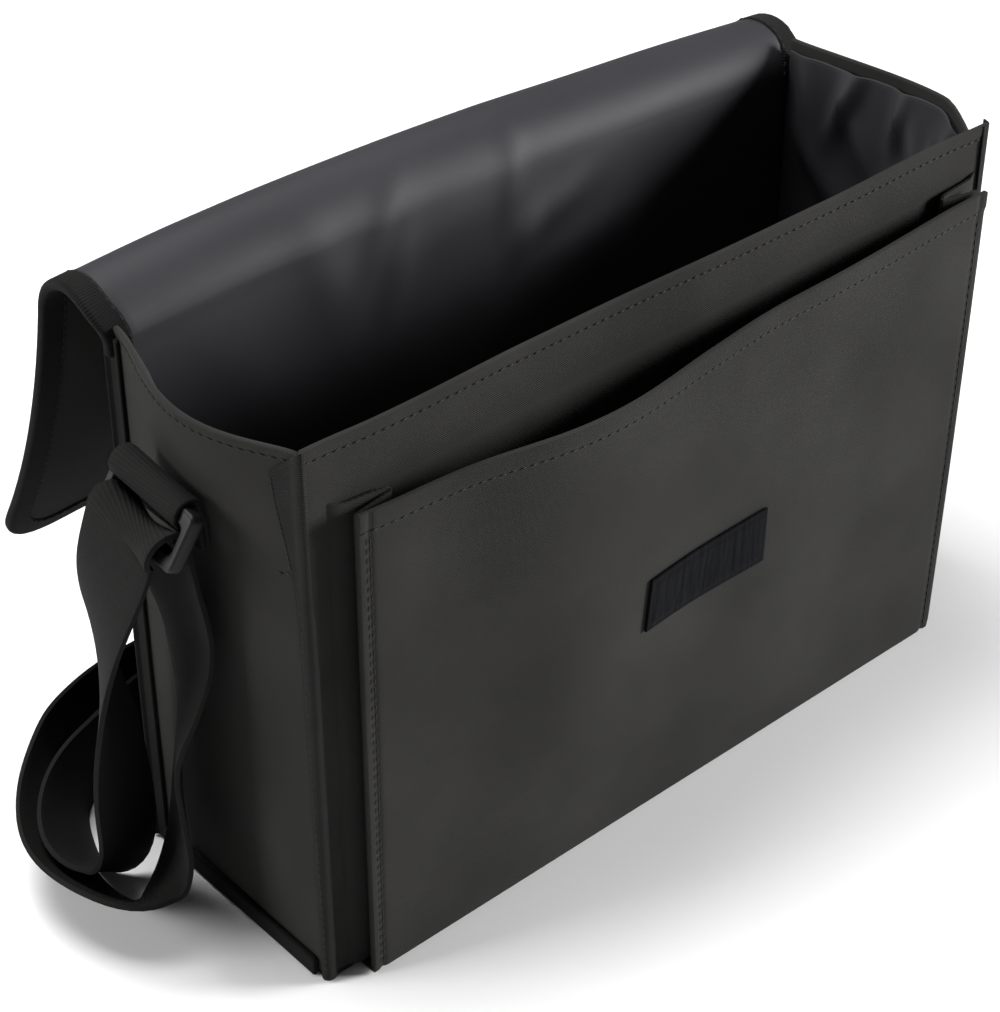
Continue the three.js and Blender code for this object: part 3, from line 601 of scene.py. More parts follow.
def spline_point(points, share):
    """Point of the smooth curve through a list of points, its steps counted from 0 to 1"""
    steps = len(points) - 1
    k = min(int(share * steps), steps - 1)
    t = share * steps - k
    p1, p2 = points[k], points[k + 1]
    p0 = points[k - 1] if k else 2 * p1 - p2
    p3 = points[k + 2] if k + 2 <= steps else 2 * p2 - p1
    least = 1e-4
    spacings = [math.sqrt((b - a).length) for a, b in ((p0, p1), (p1, p2), (p2, p3))]
    middle = spacings[1] if spacings[1] > least else 1.0
    first = spacings[0] if spacings[0] > least else middle
    last = spacings[2] if spacings[2] > least else middle
    leave = ((p1 - p0) / first - (p2 - p0) / (first + middle) + (p2 - p1) / middle) * middle
    reach = ((p2 - p1) / middle - (p3 - p1) / (middle + last) + (p3 - p2) / last) * middle
    square, cube = t * t, t * t * t
    start = p1 * (2 * cube - 3 * square + 1) + leave * (cube - 2 * square + t)
    return start + p2 * (3 * square - 2 * cube) + reach * (cube - square)


class Station(NamedTuple):
    middle: Vector
    across: Vector
    out: Vector


def eased(values, held):
    """Values along a run, each drawn a little towards its neighbours unless it is held"""
    drawn = [(a + 2 * b + c) / 4 for a, b, c in zip(values, values[1:], values[2:])]
    moved = [values[0], *drawn, values[-1]]
    return [value if fixed else move for value, move, fixed in zip(values, moved, held)]


def band_stations(rows, step, easing):
    """Middles of a band with the directions across it and out of it"""
    middles = [Vector((row.x, row.y, row.z)) for row in rows]
    sides = [Vector(row.across) for row in rows]
    last = len(rows) - 1
    shares = [0.0]
    for k, (a, b) in enumerate(zip(middles, middles[1:])):
        parts = max(1, round((b - a).length / step))
        shares += [(k + i / parts) / last for i in range(1, parts + 1)]
    held = [rows[round(share * last)].held for share in shares]
    places = [spline_point(middles, share) for share in shares]
    turns = [spline_point(sides, share) for share in shares]
    for _ in range(easing):
        places = eased(places, held)
        turns = eased(turns, held)
    ahead = [*places[1:], 2 * places[-1] - places[-2]]
    behind = [2 * places[0] - places[1], *places[:-1]]
    stations = []
    for place, side, before, after in zip(places, turns, behind, ahead):
        along = (after - before).normalized()
        across = (side - along * side.dot(along)).normalized()
        stations.append(Station(place, across, along.cross(across)))
    return stations


def run_length(points):
    return sum((b - a).length for a, b in zip(points, points[1:]))


class CaseShape:
    """Surfaces of the case, worked out from the sizes that the scene holds"""

    def __init__(self, scene):
        self.bag = scene.case_bag
        self.flap = scene.case_flap
        self.pocket = scene.case_pocket
        self.strap = scene.case_strap
        self.binding = scene.case_binding
        bag, flap = self.bag, self.flap
        self.front_y = -bag.depth / 2
        self.back_y = bag.depth / 2 - bag.cloth
        self.wall_floor = bag.cloth + bag.gap
        self.lining_floor = self.wall_floor + bag.lining + bag.gap
        self.side_y = bag.depth / 2 - bag.cloth - bag.gap
        self.side_lining_y = self.side_y - bag.lining - bag.gap
        self.lining_half = bag.width / 2 - bag.cloth - 2 * bag.gap
        self.wall_run = flap.fold_height - self.wall_floor
        self.roll_angle = math.pi - flap.lean_top
        self.hang_start = self.wall_run + flap.fold_radius * self.roll_angle
        self.edging = flap.tape_width - flap.tape_lap
        self.sheet_run = self.hang_start + flap.hang - self.edging
        self.flap_middle = (bag.gap + bag.lining - bag.cloth) / 2
        self.front_rise = bag.front_height - self.wall_floor
        self.side_rise = bag.side_height - self.wall_floor
        self.pocket_height = (self.pocket.top_left + self.pocket.top_right) / 2

    def sway(self, x, z, half, place):
        """Slow waves of a wall, none along its seams"""
        edge = smooth_step(half - abs(x), 0.0, WAVE_FADE) * smooth_step(z, 0.0, WAVE_FADE)
        return self.bag.sway * edge * noise.noise(Vector((x * WALL_WAVES, z * WALL_WAVES, place)))

    def front_surface(self, half, low, high, offset, way):
        """Upright surface at the front, facing out of the bag or into it"""

        def surface(u, v):
            x = way * (2 * u - 1) * half
            z = low + v * (high - low)
            return Vector((x, self.front_y + offset + self.sway(x, z, half, FRONT_WAVE), z))

        return surface

    def front_wall(self):
        bag = self.bag
        return self.front_surface(bag.width / 2, self.wall_floor, bag.front_height, bag.cloth, 1)

    def side_bow(self, side, y, z):
        bag = self.bag
        bow = bag.bow_left if side < 0 else bag.bow_right
        skew = bag.bow_skew_left if side < 0 else bag.bow_skew_right
        place = clamp((y + self.side_y) / (2 * self.side_y), 0.0, 1.0) ** skew
        return bow * math.sin(math.pi * place) ** bag.bow_shape * (z / bag.side_height) ** bag.bow_growth

    def side_reach(self, side, y, z):
        """Distance from the middle plane to the outer face of a side"""
        stray = self.side_bow(side, y, z) + self.sway(y, z, self.side_y, SIDE_WAVE + side)
        return self.bag.width / 2 + stray

    def side_surface(self, side, half_depth, low, high, offset, way, folds=()):
        """Upright surface of one side, offset along X, facing out of the bag or into it"""
        bag = self.bag

        def surface(u, v):
            y = way * side * (2 * u - 1) * half_depth
            drop = 1 - smooth_step(y, -self.side_y, bag.dip_reach - self.side_y)
            z = low + v * (high - (bag.dip * drop if side > 0 else 0.0) - low)
            x = self.side_reach(side, y, z) - bag.cloth + offset - self.side_folds(folds, y, z)
            return Vector((side * x, y, z))

        return surface

    def side_wall(self, side):
        return self.side_surface(side, self.side_y, self.wall_floor, self.bag.side_height, 0.0, 1)

    def side_folds(self, folds, y, z):
        edge = smooth_step(self.side_y - abs(y), 0.0, WRINKLE_FADE)
        return edge * fold_height(folds, y, z)

    def back_profile(self, run):
        flap = self.flap
        if run <= self.wall_run:
            return self.back_y, self.wall_floor + run
        turn = min((run - self.wall_run) / flap.fold_radius, self.roll_angle)
        y = self.back_y + flap.fold_radius * (1 - math.cos(turn))
        z = flap.fold_height + flap.fold_radius * math.sin(turn)
        if run > self.hang_start:
            bend = (flap.lean_end - flap.lean_top) / flap.hang
            lean = flap.lean_top + bend * (run - self.hang_start)
            y += (math.cos(flap.lean_top) - math.cos(lean)) / bend
            z -= (math.sin(lean) - math.sin(flap.lean_top)) / bend
        return y, z

    def back_point(self, x, run):
        y, z = self.back_profile(run)
        roll_run = self.hang_start - self.wall_run
        settled = smooth_step(run, self.wall_run / 2, self.wall_run + roll_run / 2)
        return Vector((x, y, z - settled * smooth_column(FOLD_DROP, x)))

    def flap_half(self, run):
        """Half the width of the flap with its binding, drawn in where the roll starts"""
        flap = self.flap
        down = clamp((run - self.hang_start) / flap.hang, 0.0, 1.0)
        drawn = 1 - smooth_step(run, self.wall_run, self.wall_run + flap.fold_radius)
        return flap.half_top + (flap.half_end - flap.half_top) * down - flap.tape_draw * drawn

    def sheet_half(self, run, wall_half):
        flap = self.flap
        blend = smooth_step(run, self.wall_run - flap.tape_below, self.wall_run)
        edge = wall_half + (self.flap_half(run) - self.edging - wall_half) * blend
        corner = flap.corner - self.edging
        into = max(run - (self.sheet_run - corner), 0.0)
        return edge - corner + math.sqrt(max(corner**2 - into**2, 0.0))

    def back_surface(self, wall_half, low_run, folds=()):
        """Back and flap in one sheet, facing the lining's side"""

        def smooth_sheet(u, v):
            run = low_run + v * (self.sheet_run - low_run)
            return self.back_point((2 * u - 1) * self.sheet_half(run, wall_half), run)

        def surface(u, v):
            run = low_run + v * (self.sheet_run - low_run)
            x = (2 * u - 1) * self.sheet_half(run, wall_half)
            edge = smooth_step(min(u, 1 - u), 0.0, BACK_FADE) * smooth_step(1 - v, 0.0, BACK_FADE)
            return smooth_sheet(u, v) + surface_normal(smooth_sheet, u, v) * edge * fold_height(folds, x, run)

        return surface if folds else smooth_sheet

    def pocket_top(self, x):
        pocket = self.pocket
        place = (x - pocket.left) / (pocket.right - pocket.left)
        return pocket.top_left + (pocket.top_right - pocket.top_left) * place

    def pocket_face(self, x, share):
        pocket = self.pocket
        floor = pocket.floor + self.bag.cloth
        z = floor + share * (self.pocket_top(x) - floor)
        fullness = 1 - (1 - share) ** pocket.belly
        y = self.front_y - pocket.standoff + self.bag.cloth - fullness * smooth_column(POCKET_GAPE, x)
        middle = (pocket.left + pocket.right) / 2
        half = (pocket.right - pocket.left) / 2
        return Vector((x, y + self.sway(x - middle, z, half, POCKET_WAVE), z))

    def pocket_surface(self, u, v):
        """Pocket's panel, with a foot that runs back under it to the front"""
        pocket = self.pocket
        x = pocket.left + u * (pocket.right - pocket.left)
        if v >= POCKET_FOOT:
            return self.pocket_face(x, (v - POCKET_FOOT) / (1 - POCKET_FOOT))
        foot = self.pocket_face(x, 0.0)
        foot.y += (1 - v / POCKET_FOOT) * (pocket.standoff - self.bag.cloth - self.bag.gap)
        return foot

    def above_foot(self, share):
        """Place along the pocket's panel, from a share of the part above its foot"""
        return POCKET_FOOT + (1 - POCKET_FOOT) * share

    def sewn_reach(self, side, y, z):
        """Distance from the middle plane to webbing that lies flat on the fullest line of a side"""
        strap = self.strap
        bows = [self.side_bow(side, y + (share - 0.5) * strap.width, z) for share in even_places(SEWN_STEPS)]
        return self.bag.width / 2 + max(bows) + strap.sewn_standoff + strap.thickness / 2

    def wrap_rows(self, bar, start, end, lean):
        """Part of a turn of webbing round a bar of the ring, leaning along the bar"""
        rows = []
        for share in even_places(WRAP_STEPS):
            turn = start + share * (end - start)
            x = bar[0] + self.strap.wrap_radius * math.cos(turn)
            z = bar[2] + self.strap.wrap_radius * math.sin(turn)
            y = self.strap.web_y + lean * (0.5 - share)
            rows.append(Way(x, y, z, (0, -1, -math.tan(self.strap.ring_tilt)), True))
        return rows

    def strap_rows(self):
        anchor = [Way(self.sewn_reach(1, 0.0, z), 0.0, z, (0, -1, 0)) for z in ANCHOR_Z]
        to_back = [*RIGHT_STRETCH, *anchor][::-1]
        wrap = self.wrap_rows(self.strap.ring_bottom, math.pi, 0.0, self.strap.wrap_lean)
        return [*to_back, *FRONT_STRAND[::-1], *wrap, *REAR_STRAND]

    def tab_rows(self):
        strap = self.strap
        levels = (strap.tab_foot, (strap.tab_foot + strap.tab_bend) / 2, strap.tab_bend)
        legs = []
        for layer in (0, 1):
            step = layer * (strap.thickness + self.bag.gap)
            reach = [-self.sewn_reach(-1, strap.web_y, z) - step for z in levels]
            legs.append([Way(x, strap.web_y, z, (0, -1, 0)) for x, z in zip(reach, levels)])
        return [*legs[0], *self.wrap_rows(strap.ring_top, strap.tab_from, strap.tab_to, 0.0), *legs[1][::-1]]

    def corner_strip(self, side, rows, slope, bulge):
        """Strip of cloth round a front corner, its upper edge sloping down over the side"""
        bag, sizes = self.bag, self.binding
        rise = bag.front_height - sizes.foot
        over_side = [(row.z, row.over_side) for row in rows]
        over_front = [(row.z, row.over_front) for row in rows]
        cut = slope * rows[-1].over_side / rise

        def surface(u, v):
            level = sizes.foot + v * rise
            side_reach = smooth_column(over_side, level * (1 - cut))
            front_reach = smooth_column(over_front, level)
            share = u if side > 0 else 1 - u
            run = share * (side_reach + front_reach) - front_reach
            z = level - v * slope * max(run, 0.0)
            onto_side = sizes.strip_soft * math.log1p(math.exp(run / sizes.strip_soft))
            facing = 1 / (1 + math.exp(-run / sizes.strip_soft))
            spread = run / min(side_reach, sizes.strip_round) if run > 0 else -run / front_reach
            lift = sizes.strip_lift + bulge * (1 - clamp(spread, 0.0, 1.0) ** 2) ** 2
            y = self.front_y + onto_side - (1 - facing) * lift
            stray = self.side_reach(side, y, z) - bag.width / 2
            x = bag.width / 2 + run - onto_side + facing * (lift + stray)
            return Vector((side * x, y, z))

        return surface

    def left_strip(self):
        return self.corner_strip(-1, LEFT_STRIP, STRIP_SLOPE, self.binding.strip_bulge)

    def flap_edge(self, inset):
        """Places along the flap's edge at an inset from it: sideways, along the sheet, and turn"""
        flap = self.flap
        start = self.wall_run - flap.tape_below
        end = self.hang_start + flap.hang - inset
        corner = flap.corner - inset
        bend = end - corner
        edge = []
        for share in even_places(FLAP_SIDE_STEPS):
            run = start + share * (bend - start)
            edge.append((inset - self.flap_half(run), run, 0.0))
        for share in even_places(FLAP_CORNER_STEPS)[1:]:
            turn = share * math.pi / 2
            x = inset - self.flap_half(bend) + corner * (1 - math.cos(turn))
            edge.append((x, bend + corner * math.sin(turn), turn))
        last = edge[-1]
        between = even_places(FLAP_END_STEPS)[1:-1]
        foot = [(last[0] * (1 - 2 * share), last[1], last[2]) for share in between]
        mirrored = [(-x, run, math.pi - turn) for x, run, turn in edge[::-1]]
        return [*edge, *foot, *mirrored]

    def flap_edge_frame(self, x, run):
        """Place on the flap's sheet, with the directions along it and into the lining's side"""
        reach = 0.0005
        down = (self.back_point(x, run + reach) - self.back_point(x, run - reach)).normalized()
        level = (self.back_point(x + reach, run) - self.back_point(x - reach, run)).normalized()
        return self.back_point(x, run), level, down, level.cross(down)

    def flap_binding_rows(self):
        rows = []
        for x, run, turn in self.flap_edge(self.flap.tape_width / 2):
            place, level, down, inward = self.flap_edge_frame(x, run)
            middle = place + inward * self.flap_middle
            across = down * math.sin(turn) - level * math.cos(turn)
            rows.append(Way(middle.x, middle.y, middle.z, tuple(across)))
        return rows


def surface_normal(surface, u, v):
    reach = 1e-3
    along_u = surface(min(u + reach, 1.0), v) - surface(max(u - reach, 0.0), v)
    along_v = surface(u, min(v + reach, 1.0)) - surface(u, max(v - reach, 0.0))
    return along_u.cross(along_v).normalized()


# Modelling steps shared by the pieces
def deselect_all():
    if bpy.context.object and bpy.context.object.mode != "OBJECT":
        bpy.ops.object.mode_set(mode="OBJECT")
    bpy.ops.object.select_all(action="DESELECT")


def make_active(piece):
    deselect_all()
    piece.select_set(True)
    bpy.context.view_layer.objects.active = piece


def apply_modifiers(piece):
    make_active(piece)
    for modifier in list(piece.modifiers):
        bpy.ops.object.modifier_apply(modifier=modifier.name)


def name_piece(piece, name):
    piece.name = name
    piece.data.name = name
    return piece


def add_grid(name, points, flats):
    """Grid with its corners moved to rows of points, and its flat size kept as its UV map"""
    rows, columns = len(points), len(points[0])
    deselect_all()
    bpy.ops.mesh.primitive_grid_add(
        x_subdivisions=columns - 1, y_subdivisions=rows - 1, size=1, calc_uvs=True
    )
    piece = name_piece(bpy.context.object, name)
    mesh = piece.data
    if len(mesh.vertices) != rows * columns:
        raise RuntimeError(f"{name}: the grid has {len(mesh.vertices)} corners, not {rows * columns}")
    places = []
    for vertex in mesh.vertices:
        i = round((vertex.co.x + 0.5) * (columns - 1))
        j = round((vertex.co.y + 0.5) * (rows - 1))
        places.append((j, i))
    flat_map = mesh.uv_layers.active.data
    for loop in mesh.loops:
        j, i = places[loop.vertex_index]
        flat_map[loop.index].uv = flats[j][i]
    for vertex, (j, i) in zip(mesh.vertices, places):
        vertex.co = points[j][i]
    mesh.update()
    return piece


def soften(piece, width, segments):
    """Rounds the sharp edges of a piece, after the modifiers that it already has"""
    soft = piece.modifiers.new("soft_edge", "BEVEL")
    soft.width = width
    soft.segments = segments
    soft.limit_method = "ANGLE"
    soft.angle_limit = SHARP_ANGLE
    apply_modifiers(piece)


def thicken(piece, thickness, offset, edge, weights=None):
    """Gives a sheet its thickness and soft edges"""
    solid = piece.modifiers.new("thickness", "SOLIDIFY")
    solid.thickness = thickness
    solid.offset = offset
    solid.use_quality_normals = True
    if weights:
        group = piece.vertex_groups.new(name="thickness")
        for index, weight in enumerate(weights):
            group.add([index], weight, "REPLACE")
        solid.vertex_group = group.name
    soften(piece, edge * thickness, EDGE_SEGMENTS)
    piece.vertex_groups.clear()
    bpy.ops.object.shade_smooth_by_angle(angle=SHARP_ANGLE)


def add_sheet(name, surface, columns, rows, thickness, flat, weight=None, offset=1.0, edge=CLOTH_EDGE):
    """Sheet over a surface, its thickness on the side that the surface faces or, at offset 0, on both"""
    points = [[surface(u, v) for u in columns] for v in rows]
    flats = [[(u * flat[0], v * flat[1]) for u in columns] for v in rows]
    piece = add_grid(name, points, flats)
    weights = None
    if weight:
        weights = [weight(u, v) for v in rows for u in columns]
    thicken(piece, thickness, offset, edge, weights)
    return piece


def add_band(name, rows, width, thickness, step, columns, easing=0):
    """Band of one width along a table of places, and the middles that it follows"""
    stations = band_stations(rows, step, easing)
    middles = [station.middle for station in stations]
    runs = [0.0]
    for a, b in zip(middles, middles[1:]):
        runs.append(runs[-1] + (b - a).length)
    shares = [share - 0.5 for share in even_places(columns)]
    points = [[s.middle + s.across * (width * share) for share in shares] for s in stations]
    flats = [[(width * share, run) for share in shares] for run in runs]
    piece = add_grid(name, points, flats)
    thicken(piece, thickness, 0.0, CLOTH_EDGE)
    return piece, middles


def hem_rows(steps, length, hem):
    """Even places up a sheet, close together over the hem at its upper edge"""
    start = 1 - (hem + HEM_MARGIN) / length
    below = [start * i / steps for i in range(steps)]
    fine = math.ceil((1 - start) * length / HEM_SPACING)
    return [*below, *[start + (1 - start) * i / fine for i in range(fine + 1)]]


def edge_places(steps, width, seam):
    """Even places across a sheet, close together along the seams at both edges"""
    near = (seam + SEAM_MARGIN) / width
    fine = [near * i / SEAM_STEPS for i in range(SEAM_STEPS)]
    middle = [near + (1 - 2 * near) * i / steps for i in range(steps + 1)]
    return [*fine, *middle, *[1 - place for place in fine[::-1]]]


def hem_weight(length, hem, fold, cloth):
    """Share of a hemmed sheet's thickness at a place: full in the hem, drawn in along its seam"""
    plain = cloth / (cloth + fold)

    def weight(u, v):
        below = (1 - v) * length
        inside = 1 - smooth_step(below, hem, hem + HEM_STEP)
        seam = math.exp(-(((below - hem) / SEAM_WIDTH) ** 2))
        return clamp(plain + (1 - plain) * inside - SEAM_DRAW * seam, LEAST_THICKNESS, 1.0)

    return weight


def add_stitches(name, points):
    """Row of stitches along a line of points, from one stitch repeated and laid on the line"""
    look = bpy.context.scene.case_finish
    guide_line = bpy.data.curves.new(name + "_line", "CURVE")
    guide_line.dimensions = "3D"
    spline = guide_line.splines.new("POLY")
    spline.points.add(len(points) - 1)
    for place, point in zip(spline.points, points):
        place.co = (*point, 1.0)
    guide = bpy.data.objects.new(name + "_line", guide_line)
    bpy.context.collection.objects.link(guide)
    count = int(run_length(points) / look.stitch_pitch)
    deselect_all()
    bpy.ops.mesh.primitive_uv_sphere_add(segments=STITCH_SIDES, ring_count=STITCH_RINGS, radius=1)
    piece = name_piece(bpy.context.object, name)
    piece.scale = (look.stitch_length / 2, look.thread_radius, look.thread_radius)
    piece.location.x = look.stitch_pitch / 2
    bpy.ops.object.transform_apply(location=True, rotation=True, scale=True)
    row = piece.modifiers.new("row", "ARRAY")
    row.use_relative_offset = False
    row.use_constant_offset = True
    row.constant_offset_displace = (look.stitch_pitch, 0, 0)
    row.count = max(count, 1)
    along = piece.modifiers.new("along", "CURVE")
    along.object = guide
    along.deform_axis = "POS_X"
    apply_modifiers(piece)
    bpy.ops.object.shade_smooth()
    bpy.data.objects.remove(guide)
    bpy.data.curves.remove(guide_line)
    return piece


def seat(piece, finish, *nodes):
    """Puts a finished piece on the case's body, with its finish and the nodes it stands for"""
    piece.data.materials.clear()
    piece.data.materials.append(finish_material(finish))
    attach(piece, "root")
    if nodes:
        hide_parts(*nodes)
    return piece


# Shader groups and finishes
def place_node(tree, kind, inputs=None, **settings):
    node = tree.nodes.new(kind)
    for name, value in settings.items():
        setattr(node, name, value)
    for name, value in (inputs or {}).items():
        if isinstance(value, bpy.types.NodeSocket):
            tree.links.new(value, node.inputs[name])
        else:
            node.inputs[name].default_value = value
    return node


def calculate(tree, operation, *values):
    node = place_node(tree, "ShaderNodeMath", dict(enumerate(values)), operation=operation)
    return node.outputs[0]


def new_group(name, inputs, outputs):
    """Empty shader group with named sockets, and its input and output nodes"""
    group = bpy.data.node_groups.new(name, "ShaderNodeTree")
    for socket, kind in inputs:
        group.interface.new_socket(name=socket, in_out="INPUT", socket_type=kind)
    for socket, kind in outputs:
        group.interface.new_socket(name=socket, in_out="OUTPUT", socket_type=kind)
    return group, group.nodes.new("NodeGroupInput"), group.nodes.new("NodeGroupOutput")


def waves(tree, value, pitch):
    """Sine of a length counted in pitches, from -1 to 1"""
    turns = calculate(tree, "DIVIDE", value, pitch)
    return calculate(tree, "SINE", calculate(tree, "MULTIPLY", turns, 2 * math.pi))


def uneven_field(tree, place, scale, detail):
    """Cloudy field over a surface, from 0 to 1"""
    node = place_node(tree, "ShaderNodeTexNoise", {"Vector": place, "Scale": scale, "Detail": detail})
    return node.outputs[0]


# Threads, loops and clouds of the patterns: details, pitches as shares, scales by the metre, and lengths
FINE_DETAIL = 2.0
CLOUD_DETAIL = 3.0
FIBRE_DETAIL = 4.0
TWILL_THREAD_PITCH = 0.5
TWILL_UNEVEN = 900.0
RIB_THREAD_PITCH = 1.4
RIB_BREAK = 0.25
RIB_UNEVEN = 500.0
RIB_MARGIN = 0.0004
RIB_FADE = 0.0006
RIB_AT_EDGE = 0.15
STREAK_DRAW = (1.0, 0.12, 1.0)
STREAK_LOOPS = 1800.0
SHEEN_ROUGHNESS = 0.4


def twill_parts(tree, sockets):
    """Diagonal ribs of a twill, the threads that cross them and their unevenness"""
    axes = place_node(tree, "ShaderNodeSeparateXYZ", {0: sockets["Coordinates"]}).outputs
    ribs = waves(tree, calculate(tree, "ADD", axes[0], axes[1]), sockets["Pitch"])
    threads = waves(tree, axes[0], calculate(tree, "MULTIPLY", sockets["Pitch"], TWILL_THREAD_PITCH))
    return ribs, threads, uneven_field(tree, sockets["Coordinates"], TWILL_UNEVEN, FINE_DETAIL)


def rib_parts(tree, sockets):
    """Ribs across a webbing, broken into threads along it and ending at its edges, and their unevenness"""
    axes = place_node(tree, "ShaderNodeSeparateXYZ", {0: sockets["Coordinates"]}).outputs
    ribs = waves(tree, axes[1], sockets["Pitch"])
    threads = waves(tree, axes[0], calculate(tree, "MULTIPLY", sockets["Pitch"], RIB_THREAD_PITCH))
    breaks = calculate(tree, "MULTIPLY_ADD", threads, RIB_BREAK, 1 - RIB_BREAK)
    inward = calculate(tree, "SUBTRACT", sockets["Edge"], calculate(tree, "ABSOLUTE", axes[0]))
    limits = {"Value": inward, "From Min": 0.0, "From Max": RIB_FADE, "To Min": RIB_AT_EDGE, "To Max": 1.0}
    within = place_node(tree, "ShaderNodeMapRange", limits, interpolation_type="SMOOTHSTEP")
    broken = calculate(tree, "MULTIPLY", calculate(tree, "MULTIPLY", ribs, breaks), within.outputs[0])
    return broken, uneven_field(tree, sockets["Coordinates"], RIB_UNEVEN, FINE_DETAIL)


def pile_parts(tree, sockets):
    """Short loops and loose fibres"""
    place, scale = sockets["Coordinates"], sockets["Scale"]
    loops = place_node(tree, "ShaderNodeTexVoronoi", {"Vector": place, "Scale": scale})
    return loops.outputs["Distance"], uneven_field(tree, place, scale, FIBRE_DETAIL)


def streak_parts(tree, sockets):
    """Uneven upright streaks, and the loops that lie in them"""
    place = sockets["Coordinates"]
    drawn = place_node(tree, "ShaderNodeMapping", {"Vector": place, "Scale": STREAK_DRAW})
    scale = calculate(tree, "DIVIDE", 1.0, sockets["Pitch"])
    streaks = uneven_field(tree, drawn.outputs[0], scale, CLOUD_DETAIL)
    return streaks, uneven_field(tree, place, STREAK_LOOPS, FINE_DETAIL)


class Pattern(NamedTuple):
    """One pattern: its name and inputs, its parts with the height each adds to a level, and its shade"""

    title: str
    inputs: tuple
    parts: Callable
    heights: tuple
    level: float
    shade_gain: float
    shade_level: float


PATTERNS = {
    "twill": Pattern("Twill", ("Pitch",), twill_parts, (0.3, 0.1, 0.16), 0.5, 0.5, 0.64),
    "ribs": Pattern("Ribs", ("Pitch", "Edge"), rib_parts, (0.36, 0.25), 0.4, 0.5, 0.68),
    "pile": Pattern("Pile", ("Scale",), pile_parts, (-0.7, 0.5), 0.8, 0.7, 0.4),
    "streaks": Pattern("Streaks", ("Pitch",), streak_parts, (1.0, 0.4), 0.0, 2.6, -0.75),
}


def pattern_group(pattern):
    """Shader group of a pattern, built once: the height of its parts and the shade that follows it"""
    if pattern.title in bpy.data.node_groups:
        return bpy.data.node_groups[pattern.title]
    inputs = [("Coordinates", "NodeSocketVector"), *[(name, "NodeSocketFloat") for name in pattern.inputs]]
    outputs = [("Height", "NodeSocketFloat"), ("Shade", "NodeSocketFloat")]
    group, start, end = new_group(pattern.title, inputs, outputs)
    height = pattern.level
    for part, rise in zip(pattern.parts(group, start.outputs), pattern.heights):
        height = calculate(group, "MULTIPLY_ADD", part, rise, height)
    group.links.new(height, end.inputs["Height"])
    shade = calculate(group, "MULTIPLY_ADD", height, pattern.shade_gain, pattern.shade_level)
    group.links.new(shade, end.inputs["Shade"])
    return group


def tone_group():
    """Slow change of a colour over a surface, shaded by its threads"""
    if "Tone" in bpy.data.node_groups:
        return bpy.data.node_groups["Tone"]
    inputs = (
        ("Coordinates", "NodeSocketVector"),
        ("Colour", "NodeSocketColor"),
        ("Shade", "NodeSocketFloat"),
        ("Scale", "NodeSocketFloat"),
        ("Amount", "NodeSocketFloat"),
    )
    outputs = (("Colour", "NodeSocketColor"), ("Patches", "NodeSocketFloat"))
    group, start, end = new_group("Tone", inputs, outputs)
    sockets = start.outputs
    patches = uneven_field(group, sockets["Coordinates"], sockets["Scale"], CLOUD_DETAIL)
    centred = calculate(group, "SUBTRACT", patches, 0.5)
    drift = calculate(group, "MULTIPLY_ADD", centred, sockets["Amount"], 1.0)
    level = calculate(group, "MULTIPLY", drift, sockets["Shade"])
    shaded = place_node(
        group, "ShaderNodeVectorMath", {"Vector": sockets["Colour"], "Scale": level}, operation="SCALE"
    )
    group.links.new(shaded.outputs[0], end.inputs["Colour"])
    group.links.new(patches, end.inputs["Patches"])
    return group


class Finish(NamedTuple):
    """How one finish is built: its pattern, its gloss and its relief"""

    pattern: str
    scale: float
    roughness: float
    roughness_change: float
    sheen: float
    specular: float
    relief: float
    tone_scale: float
    tone_amount: float


FINISHES = {
    "cloth": Finish("twill", 0.0009, 0.90, 0.10, 0.015, 0.05, 0.00015, 15.0, 1.00),
    "lining": Finish("twill", 0.0005, 0.60, 0.14, 0.01, 0.26, 0.00006, 12.0, 0.50),
    "tape": Finish("ribs", 0.0010, 0.92, 0.10, 0.03, 0.06, 0.00030, 60.0, 0.60),
    "seam": Finish("twill", 0.0009, 0.92, 0.10, 0.02, 0.06, 0.00035, 70.0, 0.70),
    "webbing": Finish("ribs", 0.0012, 0.82, 0.12, 0.012, 0.06, 0.00030, 30.0, 0.45),
    "plastic": Finish("pile", 2600.0, 0.50, 0.12, 0.0, 0.22, 0.00002, 80.0, 0.30),
    "patch": Finish("streaks", 0.0024, 0.95, 0.05, 0.02, 0.05, 0.00050, 70.0, 0.50),
    # The thread finish is near-black: dark thread, and painted shade along the stitch lines
    "thread": Finish("pile", 2400.0, 0.75, 0.10, 0.04, 0.20, 0.00010, 200.0, 0.40),
}


